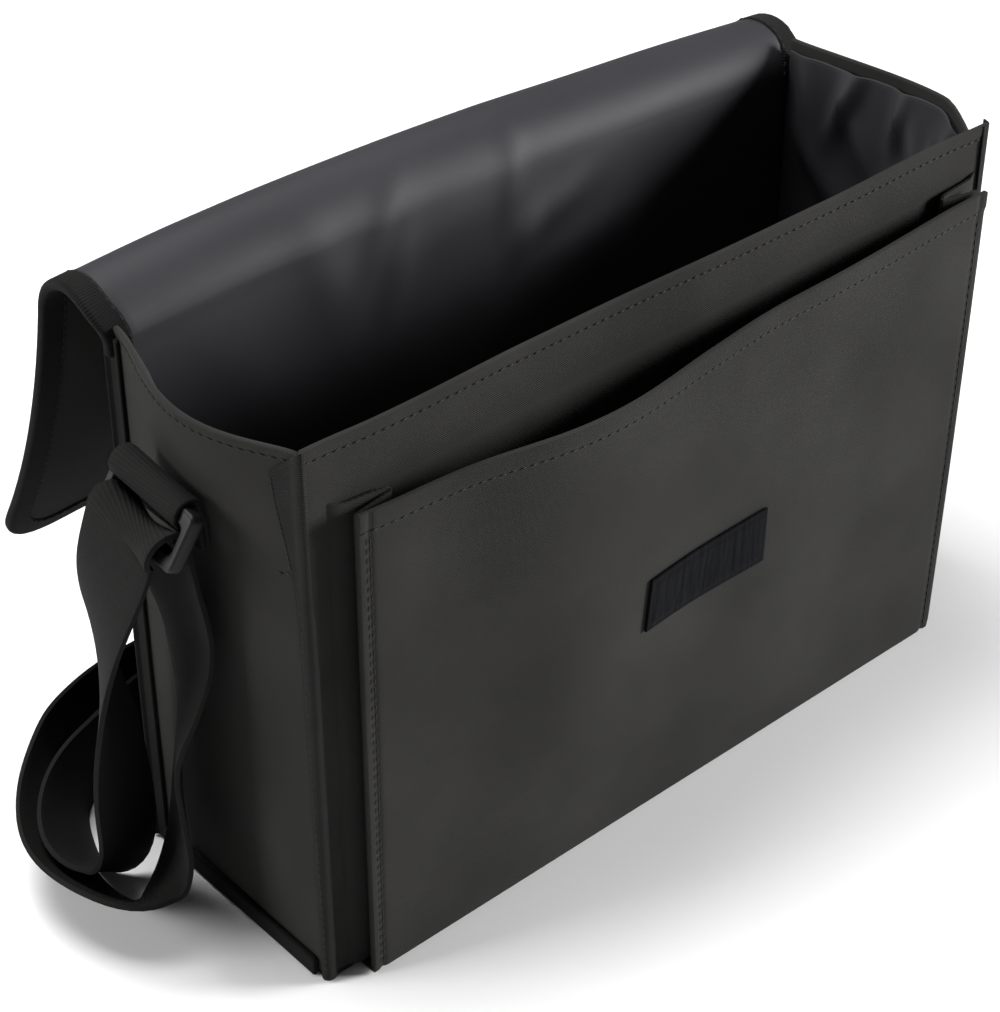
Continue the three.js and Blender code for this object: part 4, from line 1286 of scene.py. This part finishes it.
def finish_material(name):
    """Finish of one kind of material, built once"""
    title = "case_" + name
    if title in bpy.data.materials:
        return bpy.data.materials[title]
    look = FINISHES[name]
    material = bpy.data.materials.new(title)
    material.use_nodes = True
    tree = material.node_tree
    surface = tree.nodes["Principled BSDF"]
    place = place_node(tree, "ShaderNodeTexCoord").outputs["Object" if look.pattern == "pile" else "UV"]
    pattern = place_node(tree, "ShaderNodeGroup", node_tree=pattern_group(PATTERNS[look.pattern]))
    tree.links.new(place, pattern.inputs["Coordinates"])
    pattern.inputs[1].default_value = look.scale
    if look.pattern == "ribs":
        pattern.inputs["Edge"].default_value = bpy.context.scene.case_strap.width / 2 - RIB_MARGIN
    tone = place_node(tree, "ShaderNodeGroup", node_tree=tone_group())
    tree.links.new(place, tone.inputs["Coordinates"])
    tree.links.new(pattern.outputs["Shade"], tone.inputs["Shade"])
    tone.inputs["Colour"].default_value = (*getattr(bpy.context.scene.case_finish, name), 1.0)
    tone.inputs["Scale"].default_value = look.tone_scale
    tone.inputs["Amount"].default_value = look.tone_amount
    tree.links.new(tone.outputs["Colour"], surface.inputs["Base Color"])
    low = look.roughness - look.roughness_change / 2
    rough = calculate(tree, "MULTIPLY_ADD", tone.outputs["Patches"], look.roughness_change, low)
    tree.links.new(rough, surface.inputs["Roughness"])
    bump = place_node(tree, "ShaderNodeBump", {"Height": pattern.outputs["Height"], "Distance": look.relief})
    tree.links.new(bump.outputs["Normal"], surface.inputs["Normal"])
    surface.inputs["Specular IOR Level"].default_value = look.specular
    surface.inputs["Sheen Weight"].default_value = look.sheen
    surface.inputs["Sheen Roughness"].default_value = SHEEN_ROUGHNESS
    return material


class CARRYCASE_OT_stage(Operator):
    """Set the camera, the lamps and the floor"""

    bl_idname = "carrycase.stage"
    bl_label = "Stage"

    def execute(self, context):
        look = context.scene.case_stage
        self.add_camera(context, look)
        self.add_lamps(context, look)
        self.add_floor(context, look)
        context.scene.view_settings.view_transform = "Standard"
        return {"FINISHED"}

    def add_camera(self, context, look):
        aim = Vector(look.aim)
        level = Vector((math.sin(look.azimuth), -math.cos(look.azimuth), 0.0))
        back = level * math.cos(look.elevation) + Vector((0.0, 0.0, math.sin(look.elevation)))
        deselect_all()
        bpy.ops.object.camera_add(location=aim + back * look.distance)
        camera = context.object
        camera.name = "case_camera"
        turn = back.to_track_quat("Z", "Y").to_matrix() @ Matrix.Rotation(look.roll, 3, "Z")
        camera.rotation_euler = turn.to_euler()
        camera.data.lens = look.lens
        camera.data.sensor_width = FRAME_WIDTH
        camera.data.sensor_fit = "AUTO"
        camera.data.dof.use_dof = False
        context.scene.camera = camera

    def add_lamps(self, context, look):
        for lamp in LAMPS:
            place = Vector(lamp.place)
            deselect_all()
            bpy.ops.object.light_add(type="AREA", location=place)
            light = context.object
            light.name = f"{lamp.name}_light"
            light.data.size = lamp.width
            light.data.energy = getattr(look, lamp.name)
            light.rotation_euler = (place - Vector(look.aim)).to_track_quat("Z", "Y").to_euler()
        world = bpy.data.worlds.new("case_world")
        world.use_nodes = True
        background = world.node_tree.nodes["Background"]
        background.inputs["Color"].default_value = (1.0, 1.0, 1.0, 1.0)
        background.inputs["Strength"].default_value = look.world
        context.scene.world = world

    def add_floor(self, context, look):
        deselect_all()
        bpy.ops.mesh.primitive_plane_add(size=look.floor_width)
        floor = name_piece(context.object, "floor")
        material = bpy.data.materials.new("case_floor")
        material.use_nodes = True
        surface = material.node_tree.nodes["Principled BSDF"]
        surface.inputs["Base Color"].default_value = (*context.scene.case_finish.floor, 1.0)
        surface.inputs["Roughness"].default_value = FLOOR_ROUGHNESS
        floor.data.materials.append(material)


class CARRYCASE_OT_strap(Operator):
    """Lay the shoulder strap and its adjuster"""

    bl_idname = "carrycase.strap"
    bl_label = "Shoulder strap"

    def execute(self, context):
        shape = CaseShape(context.scene)
        sizes = shape.strap
        strap, middles = add_band(
            "strap_webbing",
            shape.strap_rows(),
            sizes.width,
            sizes.thickness,
            STRAP_STEP,
            STRAP_COLUMNS,
            STRAP_EASING,
        )
        seat(strap, "webbing", "shoulder_strap")
        adjuster = self.add_adjuster(sizes)
        tuple(middles[0])
        run_length(middles)
        [tuple(middle) for middle in middles]
        return {"FINISHED"}

    def add_adjuster(self, sizes):
        """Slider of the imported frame, merged and with its edges eased"""
        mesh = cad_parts["strap_adjuster"].data.copy()
        piece = name_piece(bpy.data.objects.new("adjuster", mesh), "adjuster")
        bpy.context.collection.objects.link(piece)
        make_active(piece)
        bpy.ops.object.mode_set(mode="EDIT")
        bpy.ops.mesh.select_all(action="SELECT")
        bpy.ops.mesh.remove_doubles(threshold=MERGE_DISTANCE)
        bpy.ops.mesh.dissolve_limited(angle_limit=FLAT_ANGLE)
        bpy.ops.object.mode_set(mode="OBJECT")
        soften(piece, sizes.adjuster_round, EDGE_SEGMENTS)
        bpy.ops.object.shade_smooth_by_angle(angle=PLASTIC_SHARP_ANGLE)
        return seat(piece, "plastic", "strap_adjuster")


class CARRYCASE_OT_ring(Operator):
    """Model the ring and the tab that holds it"""

    bl_idname = "carrycase.ring"
    bl_label = "Ring and tab"

    def execute(self, context):
        shape = CaseShape(context.scene)
        sizes = shape.strap
        tab, _ = add_band(
            "tab_webbing", shape.tab_rows(), sizes.width, sizes.thickness, TAB_STEP, STRAP_COLUMNS
        )
        seat(tab, "webbing", "strap_tab")
        self.add_ring(context, sizes)
        return {"FINISHED"}

    def add_ring(self, context, sizes):
        top, bottom = Vector(sizes.ring_top), Vector(sizes.ring_bottom)
        rise = top - bottom
        deselect_all()
        bpy.ops.mesh.primitive_cube_add(size=1)
        ring = name_piece(context.object, "ring")
        ring.scale = (sizes.ring_bar, sizes.ring_length, rise.length + sizes.ring_bar)
        bpy.ops.object.transform_apply(location=True, rotation=True, scale=True)
        bpy.ops.object.mode_set(mode="EDIT")
        self.select(ring, "FACE", lambda face: abs(face.normal.x) > ALIGNED)
        bpy.ops.mesh.inset(thickness=sizes.ring_bar, use_even_offset=True)
        opening = 1 - 2 * sizes.ring_leg / sizes.ring_length
        widen = opening / (1 - 2 * sizes.ring_bar / sizes.ring_length)
        bpy.ops.transform.resize(value=(1, widen, 1), center_override=(0, 0, 0))
        bpy.ops.mesh.bridge_edge_loops()
        self.select(ring, "EDGE", self.is_through)
        bpy.ops.mesh.bevel(offset=sizes.ring_corner, segments=RING_SEGMENTS, affect="EDGES")
        bpy.ops.mesh.select_all(action="SELECT")
        bpy.ops.mesh.normals_make_consistent(inside=False)
        bpy.ops.object.mode_set(mode="OBJECT")
        soften(ring, sizes.ring_round * sizes.ring_bar, RING_SEGMENTS)
        ring.rotation_euler = (sizes.ring_tilt, math.atan2(rise.x, rise.z), 0)
        ring.location = (top + bottom) / 2
        bpy.ops.object.transform_apply(location=True, rotation=True, scale=True)
        bpy.ops.object.shade_smooth_by_angle(angle=PLASTIC_SHARP_ANGLE)
        seat(ring, "plastic", "strap_ring")

    def select(self, piece, kind, chosen):
        """Select the faces or edges of a piece that pass a test"""
        bpy.ops.mesh.select_mode(type=kind)
        bpy.ops.mesh.select_all(action="DESELECT")
        shape = bmesh.from_edit_mesh(piece.data)
        for part in shape.faces if kind == "FACE" else shape.edges:
            if chosen(part):
                part.select_set(True)
        bmesh.update_edit_mesh(piece.data)

    def is_through(self, edge):
        run = (edge.verts[1].co - edge.verts[0].co).normalized()
        return abs(run.x) > ALIGNED


class CARRYCASE_OT_walls(Operator):
    """Model the base, the front and the sides with their linings"""

    bl_idname = "carrycase.walls"
    bl_label = "Walls and linings"

    def execute(self, context):
        shape = CaseShape(context.scene)
        self.add_base(shape)
        self.add_front(shape)
        for name, side, folds in (("left", -1, LEFT_FOLDS), ("right", 1, RIGHT_FOLDS)):
            self.add_side(shape, name, side, folds)
        return {"FINISHED"}

    def add_base(self, shape):
        bag = shape.bag
        half = bag.width / 2

        def under(u, v):
            return Vector(((1 - 2 * u) * half, (2 * v - 1) * bag.depth / 2, bag.cloth))

        def inside(u, v):
            x = (2 * u - 1) * shape.lining_half
            y = (2 * v - 1) * shape.side_y
            rise = bag.sway * (1 + noise.noise(Vector((x * FLOOR_WAVES, y * FLOOR_WAVES, FLOOR_WAVE))))
            edge = smooth_step(min(u, 1 - u), 0, FLOOR_FADE_ACROSS)
            edge *= smooth_step(min(v, 1 - v), 0, FLOOR_FADE_ALONG)
            return Vector((x, y, shape.wall_floor + edge * rise))

        flat = (bag.width, bag.depth)
        base = add_sheet("base_cloth", under, *even_grid(BASE_STEPS), bag.cloth, flat)
        seat(base, "cloth", "base_panel")
        flat = (2 * shape.lining_half, 2 * shape.side_y)
        lining = add_sheet("base_lining_cloth", inside, *even_grid(BASE_LINING_STEPS), bag.lining, flat)
        seat(lining, "lining", "base_lining")

    def add_front(self, shape):
        bag = shape.bag
        columns = even_places(FRONT_STEPS.across)
        rows = hem_rows(FRONT_STEPS.along, shape.front_rise, bag.front_seam)
        weight = hem_weight(shape.front_rise, bag.front_seam, bag.hem_fold, bag.cloth)
        thickness = bag.cloth + bag.hem_fold
        flat = (bag.width, shape.front_rise)
        front = add_sheet("front_cloth", shape.front_wall(), columns, rows, thickness, flat, weight)
        seat(front, "cloth", "front_panel")
        top = bag.front_height - bag.hem
        offset = bag.cloth + bag.gap
        inner = shape.front_surface(shape.lining_half, shape.lining_floor, top, offset, -1)
        flat = (2 * shape.lining_half, top - shape.lining_floor)
        lining = add_sheet("front_lining_cloth", inner, *even_grid(FRONT_LINING_STEPS), bag.lining, flat)
        seat(lining, "lining", "front_lining")

    def add_side(self, shape, name, side, folds):
        bag = shape.bag
        columns = even_places(SIDE_STEPS.across)
        rows = hem_rows(SIDE_STEPS.along, shape.side_rise, bag.side_seam)
        weight = hem_weight(shape.side_rise, bag.side_seam, bag.hem_fold, bag.cloth)
        thickness = bag.cloth + bag.hem_fold
        flat = (2 * shape.side_y, shape.side_rise)
        wall = add_sheet(f"side_cloth_{name}", shape.side_wall(side), columns, rows, thickness, flat, weight)
        seat(wall, "cloth", f"side_{name}")
        top = bag.side_height - bag.side_hem
        inner = shape.side_surface(side, shape.side_lining_y, shape.lining_floor, top, -bag.gap, -1, folds)
        flat = (2 * shape.side_lining_y, top - shape.lining_floor)
        lining = add_sheet(
            f"side_lining_cloth_{name}", inner, *even_grid(SIDE_LINING_STEPS), bag.lining, flat
        )
        seat(lining, "lining", f"side_lining_{name}")


class CARRYCASE_OT_back(Operator):
    """Model the back that rolls over into the flap, and its lining"""

    bl_idname = "carrycase.back"
    bl_label = "Back and flap"

    def execute(self, context):
        shape = CaseShape(context.scene)
        bag = shape.bag
        columns = even_places(BACK_STEPS.across)
        rows = self.corner_rows(shape)
        outer = self.lowered(shape.back_surface(bag.width / 2, 0.0), bag.cloth)
        flat = (bag.width, shape.sheet_run)
        back = add_sheet("back_flap_cloth", outer, columns, rows, bag.cloth, flat)
        seat(back, "cloth", "back_flap_panel")
        low_run = shape.lining_floor - shape.wall_floor
        inner = self.lowered(shape.back_surface(shape.lining_half, low_run, BACK_FOLDS), -bag.gap)
        flat = (2 * shape.lining_half, shape.sheet_run - low_run)
        lining = add_sheet("back_flap_lining_cloth", inner, columns, rows, bag.lining, flat)
        seat(lining, "lining", "back_flap_lining")
        return {"FINISHED"}

    def corner_rows(self, shape):
        """Even places down the sheet, then places that follow its round lower corners"""
        corner = (shape.flap.corner - shape.edging) / shape.sheet_run
        even = [(1 - corner) * share for share in even_places(BACK_STEPS.along)]
        turns = [share * math.pi / 2 for share in even_places(FLAP_CORNER_STEPS)[1:]]
        return [*even, *[1 - corner * (1 - math.sin(turn)) for turn in turns]]

    def lowered(self, surface, depth):
        """Surface moved back along its normal"""

        def moved(u, v):
            return surface(u, v) - surface_normal(surface, u, v) * depth

        return moved


class CARRYCASE_OT_bindings(Operator):
    """Bind the flap's edge, the corners and the foot of the sides"""

    bl_idname = "carrycase.bindings"
    bl_label = "Bindings"

    def execute(self, context):
        shape = CaseShape(context.scene)
        sizes, flap = shape.binding, shape.flap
        rows = shape.flap_binding_rows()
        tape, _ = add_band("flap_tape", rows, flap.tape_width, flap.tape_thickness, TAPE_STEP, TAPE_COLUMNS)
        seat(tape, "tape", "flap_binding")
        self.add_strip("front_left", shape.left_strip(), sizes)
        self.add_strip("front_right", shape.corner_strip(1, RIGHT_STRIP, 0, 0.0), sizes)
        for corner in BACK_CORNERS:
            self.add_fin(shape, sizes, corner)
        for name, side in SIDES:
            self.add_foot(shape, sizes, name, side)
        return {"FINISHED"}

    def add_strip(self, name, surface, sizes):
        height = surface(0.5, 1.0).z
        flat = (LEFT_STRIP[-1].over_side, height)
        piece = add_sheet(f"corner_tape_{name}", surface, *even_grid(STRIP_STEPS), sizes.strip_cloth, flat)
        seat(piece, "seam", f"corner_binding_{name}")

    def add_fin(self, shape, sizes, corner):
        """Tape that lies on a side along its back seam and stands out of the corner"""
        bag = shape.bag
        out = Vector((corner.side, 1.0, 0.0)).normalized()
        height = corner.top - sizes.foot
        run = sizes.fin_onto + corner.reach

        def surface(u, v):
            z = sizes.foot + v * height
            y = bag.depth / 2 - max(0.0, sizes.fin_onto - u * run)
            x = shape.side_reach(corner.side, y, z) + sizes.fin_lift
            stand = out * max(0.0, u * run - sizes.fin_onto)
            return Vector((corner.side * x, y, z)) + stand

        flat = (run, height)
        piece = self.add_tape(f"corner_tape_{corner.name}", surface, FIN_STEPS, sizes.fin_cloth, flat)
        seat(piece, "tape", f"corner_binding_{corner.name}")

    def add_foot(self, shape, sizes, name, side):
        """Tape along the foot of a side"""
        reach = shape.side_y - sizes.base_inset
        x = side * (shape.bag.width / 2 + sizes.base_standoff + sizes.base_thickness / 2)

        def surface(u, v):
            return Vector((x, side * (2 * u - 1) * reach, sizes.base_floor + v * sizes.base_height))

        flat = (2 * reach, sizes.base_height)
        piece = self.add_tape(f"base_tape_{name}", surface, FOOT_STEPS, sizes.base_thickness, flat)
        seat(piece, "tape", f"base_binding_{name}")

    def add_tape(self, name, surface, steps, thickness, flat):
        """Tape with a surface as its middle"""
        return add_sheet(name, surface, *even_grid(steps), thickness, flat, offset=0.0, edge=TAPE_EDGE)


class CARRYCASE_OT_pocket(Operator):
    """Model the pocket's panel and its bellows"""

    bl_idname = "carrycase.pocket"
    bl_label = "Pocket"

    def execute(self, context):
        shape = CaseShape(context.scene)
        bag, pocket = shape.bag, shape.pocket
        width, height = pocket.right - pocket.left, shape.pocket_height
        flat = (width, height)
        above = hem_rows(POCKET_STEPS.along, height, bag.pocket_seam)
        rows = [0.0, POCKET_FOOT / 2, *[shape.above_foot(share) for share in above]]
        hem = hem_weight(height, bag.pocket_seam, bag.hem_fold, bag.cloth)

        def weight(u, v):
            inward = min(u, 1 - u) * width
            from_seam = (inward - pocket.edge_seam) / EDGE_SEAM_WIDTH
            return hem(u, v) - EDGE_SEAM_DRAW * math.exp(-(from_seam**2))

        columns = edge_places(POCKET_STEPS.across, width, pocket.edge_seam)
        thickness = bag.cloth + bag.hem_fold
        panel = add_sheet("pocket_cloth", shape.pocket_surface, columns, rows, thickness, flat, weight)
        seat(panel, "cloth", "pocket_panel")
        self.add_bellows(shape, "left", -1, pocket.left, pocket.top_left)
        self.add_bellows(shape, "right", 1, pocket.right, pocket.top_right)
        return {"FINISHED"}

    def add_bellows(self, shape, name, side, edge, top):
        bag, pocket = shape.bag, shape.pocket
        half = pocket.pleat_cloth / 2
        against_front = shape.front_y - bag.gap - half
        against_pocket = shape.front_y - pocket.standoff + bag.cloth + bag.gap + half
        fold = (against_front + against_pocket) / 2
        tip = edge - side * pocket.pleat_in
        line = [
            Vector((edge + side * pocket.pleat_out, shape.front_y + half, 0)),
            Vector((edge + side * pocket.pleat_out / 2, against_front, 0)),
            Vector((edge, against_front + (fold - against_front) * pocket.pleat_lead, 0)),
            Vector((tip + side * pocket.pleat_cloth, fold + half, 0)),
            Vector((tip, fold, 0)),
            Vector((tip + side * pocket.pleat_cloth, fold - half, 0)),
            Vector((edge - side * half, against_pocket, 0)),
        ]
        foot = pocket.floor + bag.cloth + bag.gap
        height = top - pocket.pleat_below - foot

        def surface(u, v):
            rise = foot + v * (height + (1 - u) * pocket.pleat_rise)
            return spline_point(line, u) + Vector((0, 0, rise))

        columns, rows = even_grid(BELLOWS_STEPS)
        length = run_length([spline_point(line, u) for u in columns])
        flat = (length, height)
        title = f"pocket_bellows_cloth_{name}"
        piece = add_sheet(title, surface, columns, rows, pocket.pleat_cloth, flat, offset=0.0)
        seat(piece, "cloth", f"pocket_bellows_{name}")


class CARRYCASE_OT_patches(Operator):
    """Model the hook-and-loop patches"""

    bl_idname = "carrycase.patches"
    bl_label = "Patches"

    def execute(self, context):
        shape = CaseShape(context.scene)
        self.add_patch("loop_pad", self.pocket_place(shape), shape, "loop_patch")
        self.add_patch("hook_pad", self.flap_place(shape), shape, "hook_patch")
        return {"FINISHED"}

    def pocket_place(self, shape):
        pocket, bag = shape.pocket, shape.bag

        def surface(u, v):
            x = pocket.patch_x + (u - 0.5) * pocket.patch_width
            z = pocket.patch_z + (v - 0.5) * pocket.patch_height
            return shape.pocket_face(x, z / shape.pocket_top(x)) - Vector((0, bag.cloth + bag.gap, 0))

        return surface

    def flap_place(self, shape):
        pocket, bag = shape.pocket, shape.bag

        def surface(u, v):
            x = pocket.patch_x + (u - 0.5) * pocket.patch_width
            run = shape.sheet_run - pocket.hook_from_tape - (1 - v) * pocket.patch_height
            place, _, _, inward = shape.flap_edge_frame(x, run)
            return place + inward * (2 * bag.gap + bag.lining)

        return surface

    def add_patch(self, name, surface, shape, node):
        pocket = shape.pocket
        flat = (pocket.patch_width, pocket.patch_height)

        def pile(u, v):
            border = smooth_step(min(u, 1 - u) * flat[0], PILE_START, PILE_FULL)
            border *= smooth_step(min(v, 1 - v) * flat[1], PILE_START, PILE_FULL)
            tuft = noise.noise(Vector((u * flat[0] * TUFTS_ACROSS, v * flat[1] * TUFTS_UP, PILE_WAVE)))
            return clamp(PATCH_GROUND + border * (PILE_RISE + TUFT_RISE * tuft), LEAST_THICKNESS, 1.0)

        piece = add_sheet(name, surface, *even_grid(PATCH_STEPS), pocket.patch_thickness, flat, pile)
        seat(piece, "patch", node)


class SewnBox(NamedTuple):
    """One sewn box: its side, its middle, its lower and upper lines and the layer of webbing it is on"""

    name: str
    side: int
    middle: float
    low: float
    high: float
    layer: int


class CARRYCASE_OT_stitching(Operator):
    """Sew the hems, the edges and the webbing"""

    bl_idname = "carrycase.stitching"
    bl_label = "Stitching"

    def execute(self, context):
        shape = CaseShape(context.scene)
        for name, points in self.seams(shape).items():
            seat(add_stitches(name, points), "thread")
        return {"FINISHED"}

    def on_surface(self, surface, places, lift):
        return [surface(u, v) + surface_normal(surface, u, v) * lift for u, v in places]

    def seams(self, shape):
        """Lines of all rows of stitches by name"""
        bag, pocket = shape.bag, shape.pocket
        lift = bag.cloth + THREAD_OUT
        level = 1 - bag.front_seam / shape.front_rise
        places = [(u, level) for u in even_places(SEAM_POINTS)]
        rows = {"stitches_front": self.on_surface(shape.front_wall(), places, lift)}
        level = shape.above_foot(1 - bag.pocket_seam / shape.pocket_height)
        places = [(u, level) for u in even_places(SEAM_POINTS)]
        rows["stitches_pocket"] = self.on_surface(shape.pocket_surface, places, lift)
        edge = pocket.edge_seam / (pocket.right - pocket.left)
        upright = places_between(EDGE_SEAM_START, EDGE_SEAM_END, EDGE_SEAM_POINTS)
        for name, u in (("left", edge), ("right", 1 - edge)):
            places = [(u, v) for v in upright]
            rows[f"stitches_pocket_{name}"] = self.on_surface(shape.pocket_surface, places, lift)
        level = 1 - bag.side_seam / shape.side_rise
        for name, side in SIDES:
            places = [(u, level) for u in even_places(EDGE_SEAM_POINTS)]
            rows[f"stitches_side_{name}"] = self.on_surface(shape.side_wall(side), places, lift)
        rows.update(self.strip_seams_and_shade_line(shape))
        rows.update(self.flap_seams(shape))
        rows.update(self.webbing_seams(shape))
        return rows

    def strip_seams_and_shade_line(self, shape):
        """Close rows of dark thread along the wide end of the left corner strip, which paint the shade of the
        gap under its free edge, a tack at their foot that paints the small shade where its end turns, and the
        seam below
        """
        strip = shape.left_strip()
        lift = shape.binding.strip_cloth - THREAD_IN
        start = LEFT_STRIP[-3].z / LEFT_STRIP[-2].z
        rows = {}
        # These two close rows of dark thread paint the shade along the strip's free edge
        for name, late in (("edge", 0.0), ("edge_between", SHADE_LINE_BETWEEN)):
            upper = places_between(start + (1 - start) * late, 1.0, SHADE_LINE_POINTS)
            rows[f"stitches_strip_{name}"] = self.on_surface(strip, [(STRIP_EDGE, v) for v in upper], lift)
        # The tack of dark thread paints the small shade where the strip's end turns
        foot = rows["stitches_strip_edge"][0]
        tack = [foot + TACK * share for share in even_places(TACK_POINTS)]
        for point in tack:
            point.x = -shape.side_reach(-1, point.y, point.z) - lift / 2
        rows["stitches_strip_tack"] = tack
        below = places_between(STRIP_SEAM_START, start, EDGE_SEAM_POINTS)
        rows["stitches_strip"] = self.on_surface(strip, [(STRIP_SEAM, v) for v in below], lift)
        return rows

    def flap_seams(self, shape):
        rows = {"stitches_flap_cloth": [], "stitches_flap_lining": []}
        reach = shape.flap.tape_thickness / 2 - THREAD_IN
        for x, run, _ in shape.flap_edge(shape.flap.tape_width - FLAP_SEAM_IN):
            place, _, _, inward = shape.flap_edge_frame(x, run)
            rows["stitches_flap_cloth"].append(place + inward * (shape.flap_middle - reach))
            rows["stitches_flap_lining"].append(place + inward * (shape.flap_middle + reach))
        return rows

    def webbing_seams(self, shape):
        """Sewn boxes that hold the tab on the left and the strap on the right"""
        strap = shape.strap
        half = strap.width / 2 - BOX_INSET
        rows = {}
        boxes = (
            SewnBox("tab", -1, strap.web_y, strap.tab_foot + BOX_INSET, strap.tab_bend - BOX_INSET, 1),
            SewnBox("anchor", 1, 0.0, ANCHOR_Z[1], ANCHOR_Z[-1] - BOX_INSET, 0),
        )
        for box in boxes:
            low, high = box.low, box.high
            corners = [(-1, low), (1, low), (1, high), (-1, high), (-1, low), (1, high), (-1, high), (1, low)]
            outward = box.layer * (strap.thickness + shape.bag.gap) + strap.thickness / 2 + BOX_THREAD_OUT
            points = []
            for (y0, z0), (y1, z1) in zip(corners, corners[1:]):
                for share in even_places(BOX_POINTS):
                    y = box.middle + half * (y0 + (y1 - y0) * share)
                    z = z0 + (z1 - z0) * share
                    reach = shape.sewn_reach(box.side, box.middle, z) + outward
                    points.append(Vector((box.side * reach, y, z)))
            rows[f"stitches_{box.name}"] = points
        return rows


class CARRYCASE_PT_panel(Panel):
    """Lists the steps that make the carry case"""

    bl_idname = "CARRYCASE_PT_panel"
    bl_label = "Carry Case"
    bl_space_type = "VIEW_3D"
    bl_region_type = "UI"
    bl_category = "Carry Case"

    def draw(self, context):
        for step in STEPS:
            self.layout.operator(step.bl_idname)


STEPS = (
    CARRYCASE_OT_stage,
    CARRYCASE_OT_strap,
    CARRYCASE_OT_ring,
    CARRYCASE_OT_walls,
    CARRYCASE_OT_back,
    CARRYCASE_OT_bindings,
    CARRYCASE_OT_pocket,
    CARRYCASE_OT_patches,
    CARRYCASE_OT_stitching,
)
GROUPS = {
    "case_bag": BagSizes,
    "case_flap": FlapSizes,
    "case_binding": BindingSizes,
    "case_pocket": PocketSizes,
    "case_strap": StrapSizes,
    "case_finish": FinishLook,
    "case_stage": StageLook,
}


def register():
    for group in GROUPS.values():
        bpy.utils.register_class(group)
    for name, group in GROUPS.items():
        setattr(bpy.types.Scene, name, PointerProperty(type=group))
    for item in (*STEPS, CARRYCASE_PT_panel):
        bpy.utils.register_class(item)


def unregister():
    for item in (CARRYCASE_PT_panel, *reversed(STEPS)):
        bpy.utils.unregister_class(item)
    for name in GROUPS:
        delattr(bpy.types.Scene, name)
    for group in reversed(GROUPS.values()):
        bpy.utils.unregister_class(group)


def main():
    register()
    bpy.ops.carrycase.stage()
    bpy.ops.carrycase.strap()
    bpy.ops.carrycase.ring()
    bpy.ops.carrycase.walls()
    bpy.ops.carrycase.back()
    bpy.ops.carrycase.bindings()
    bpy.ops.carrycase.pocket()
    bpy.ops.carrycase.patches()
    bpy.ops.carrycase.stitching()


if __name__ == "__main__":
    main()
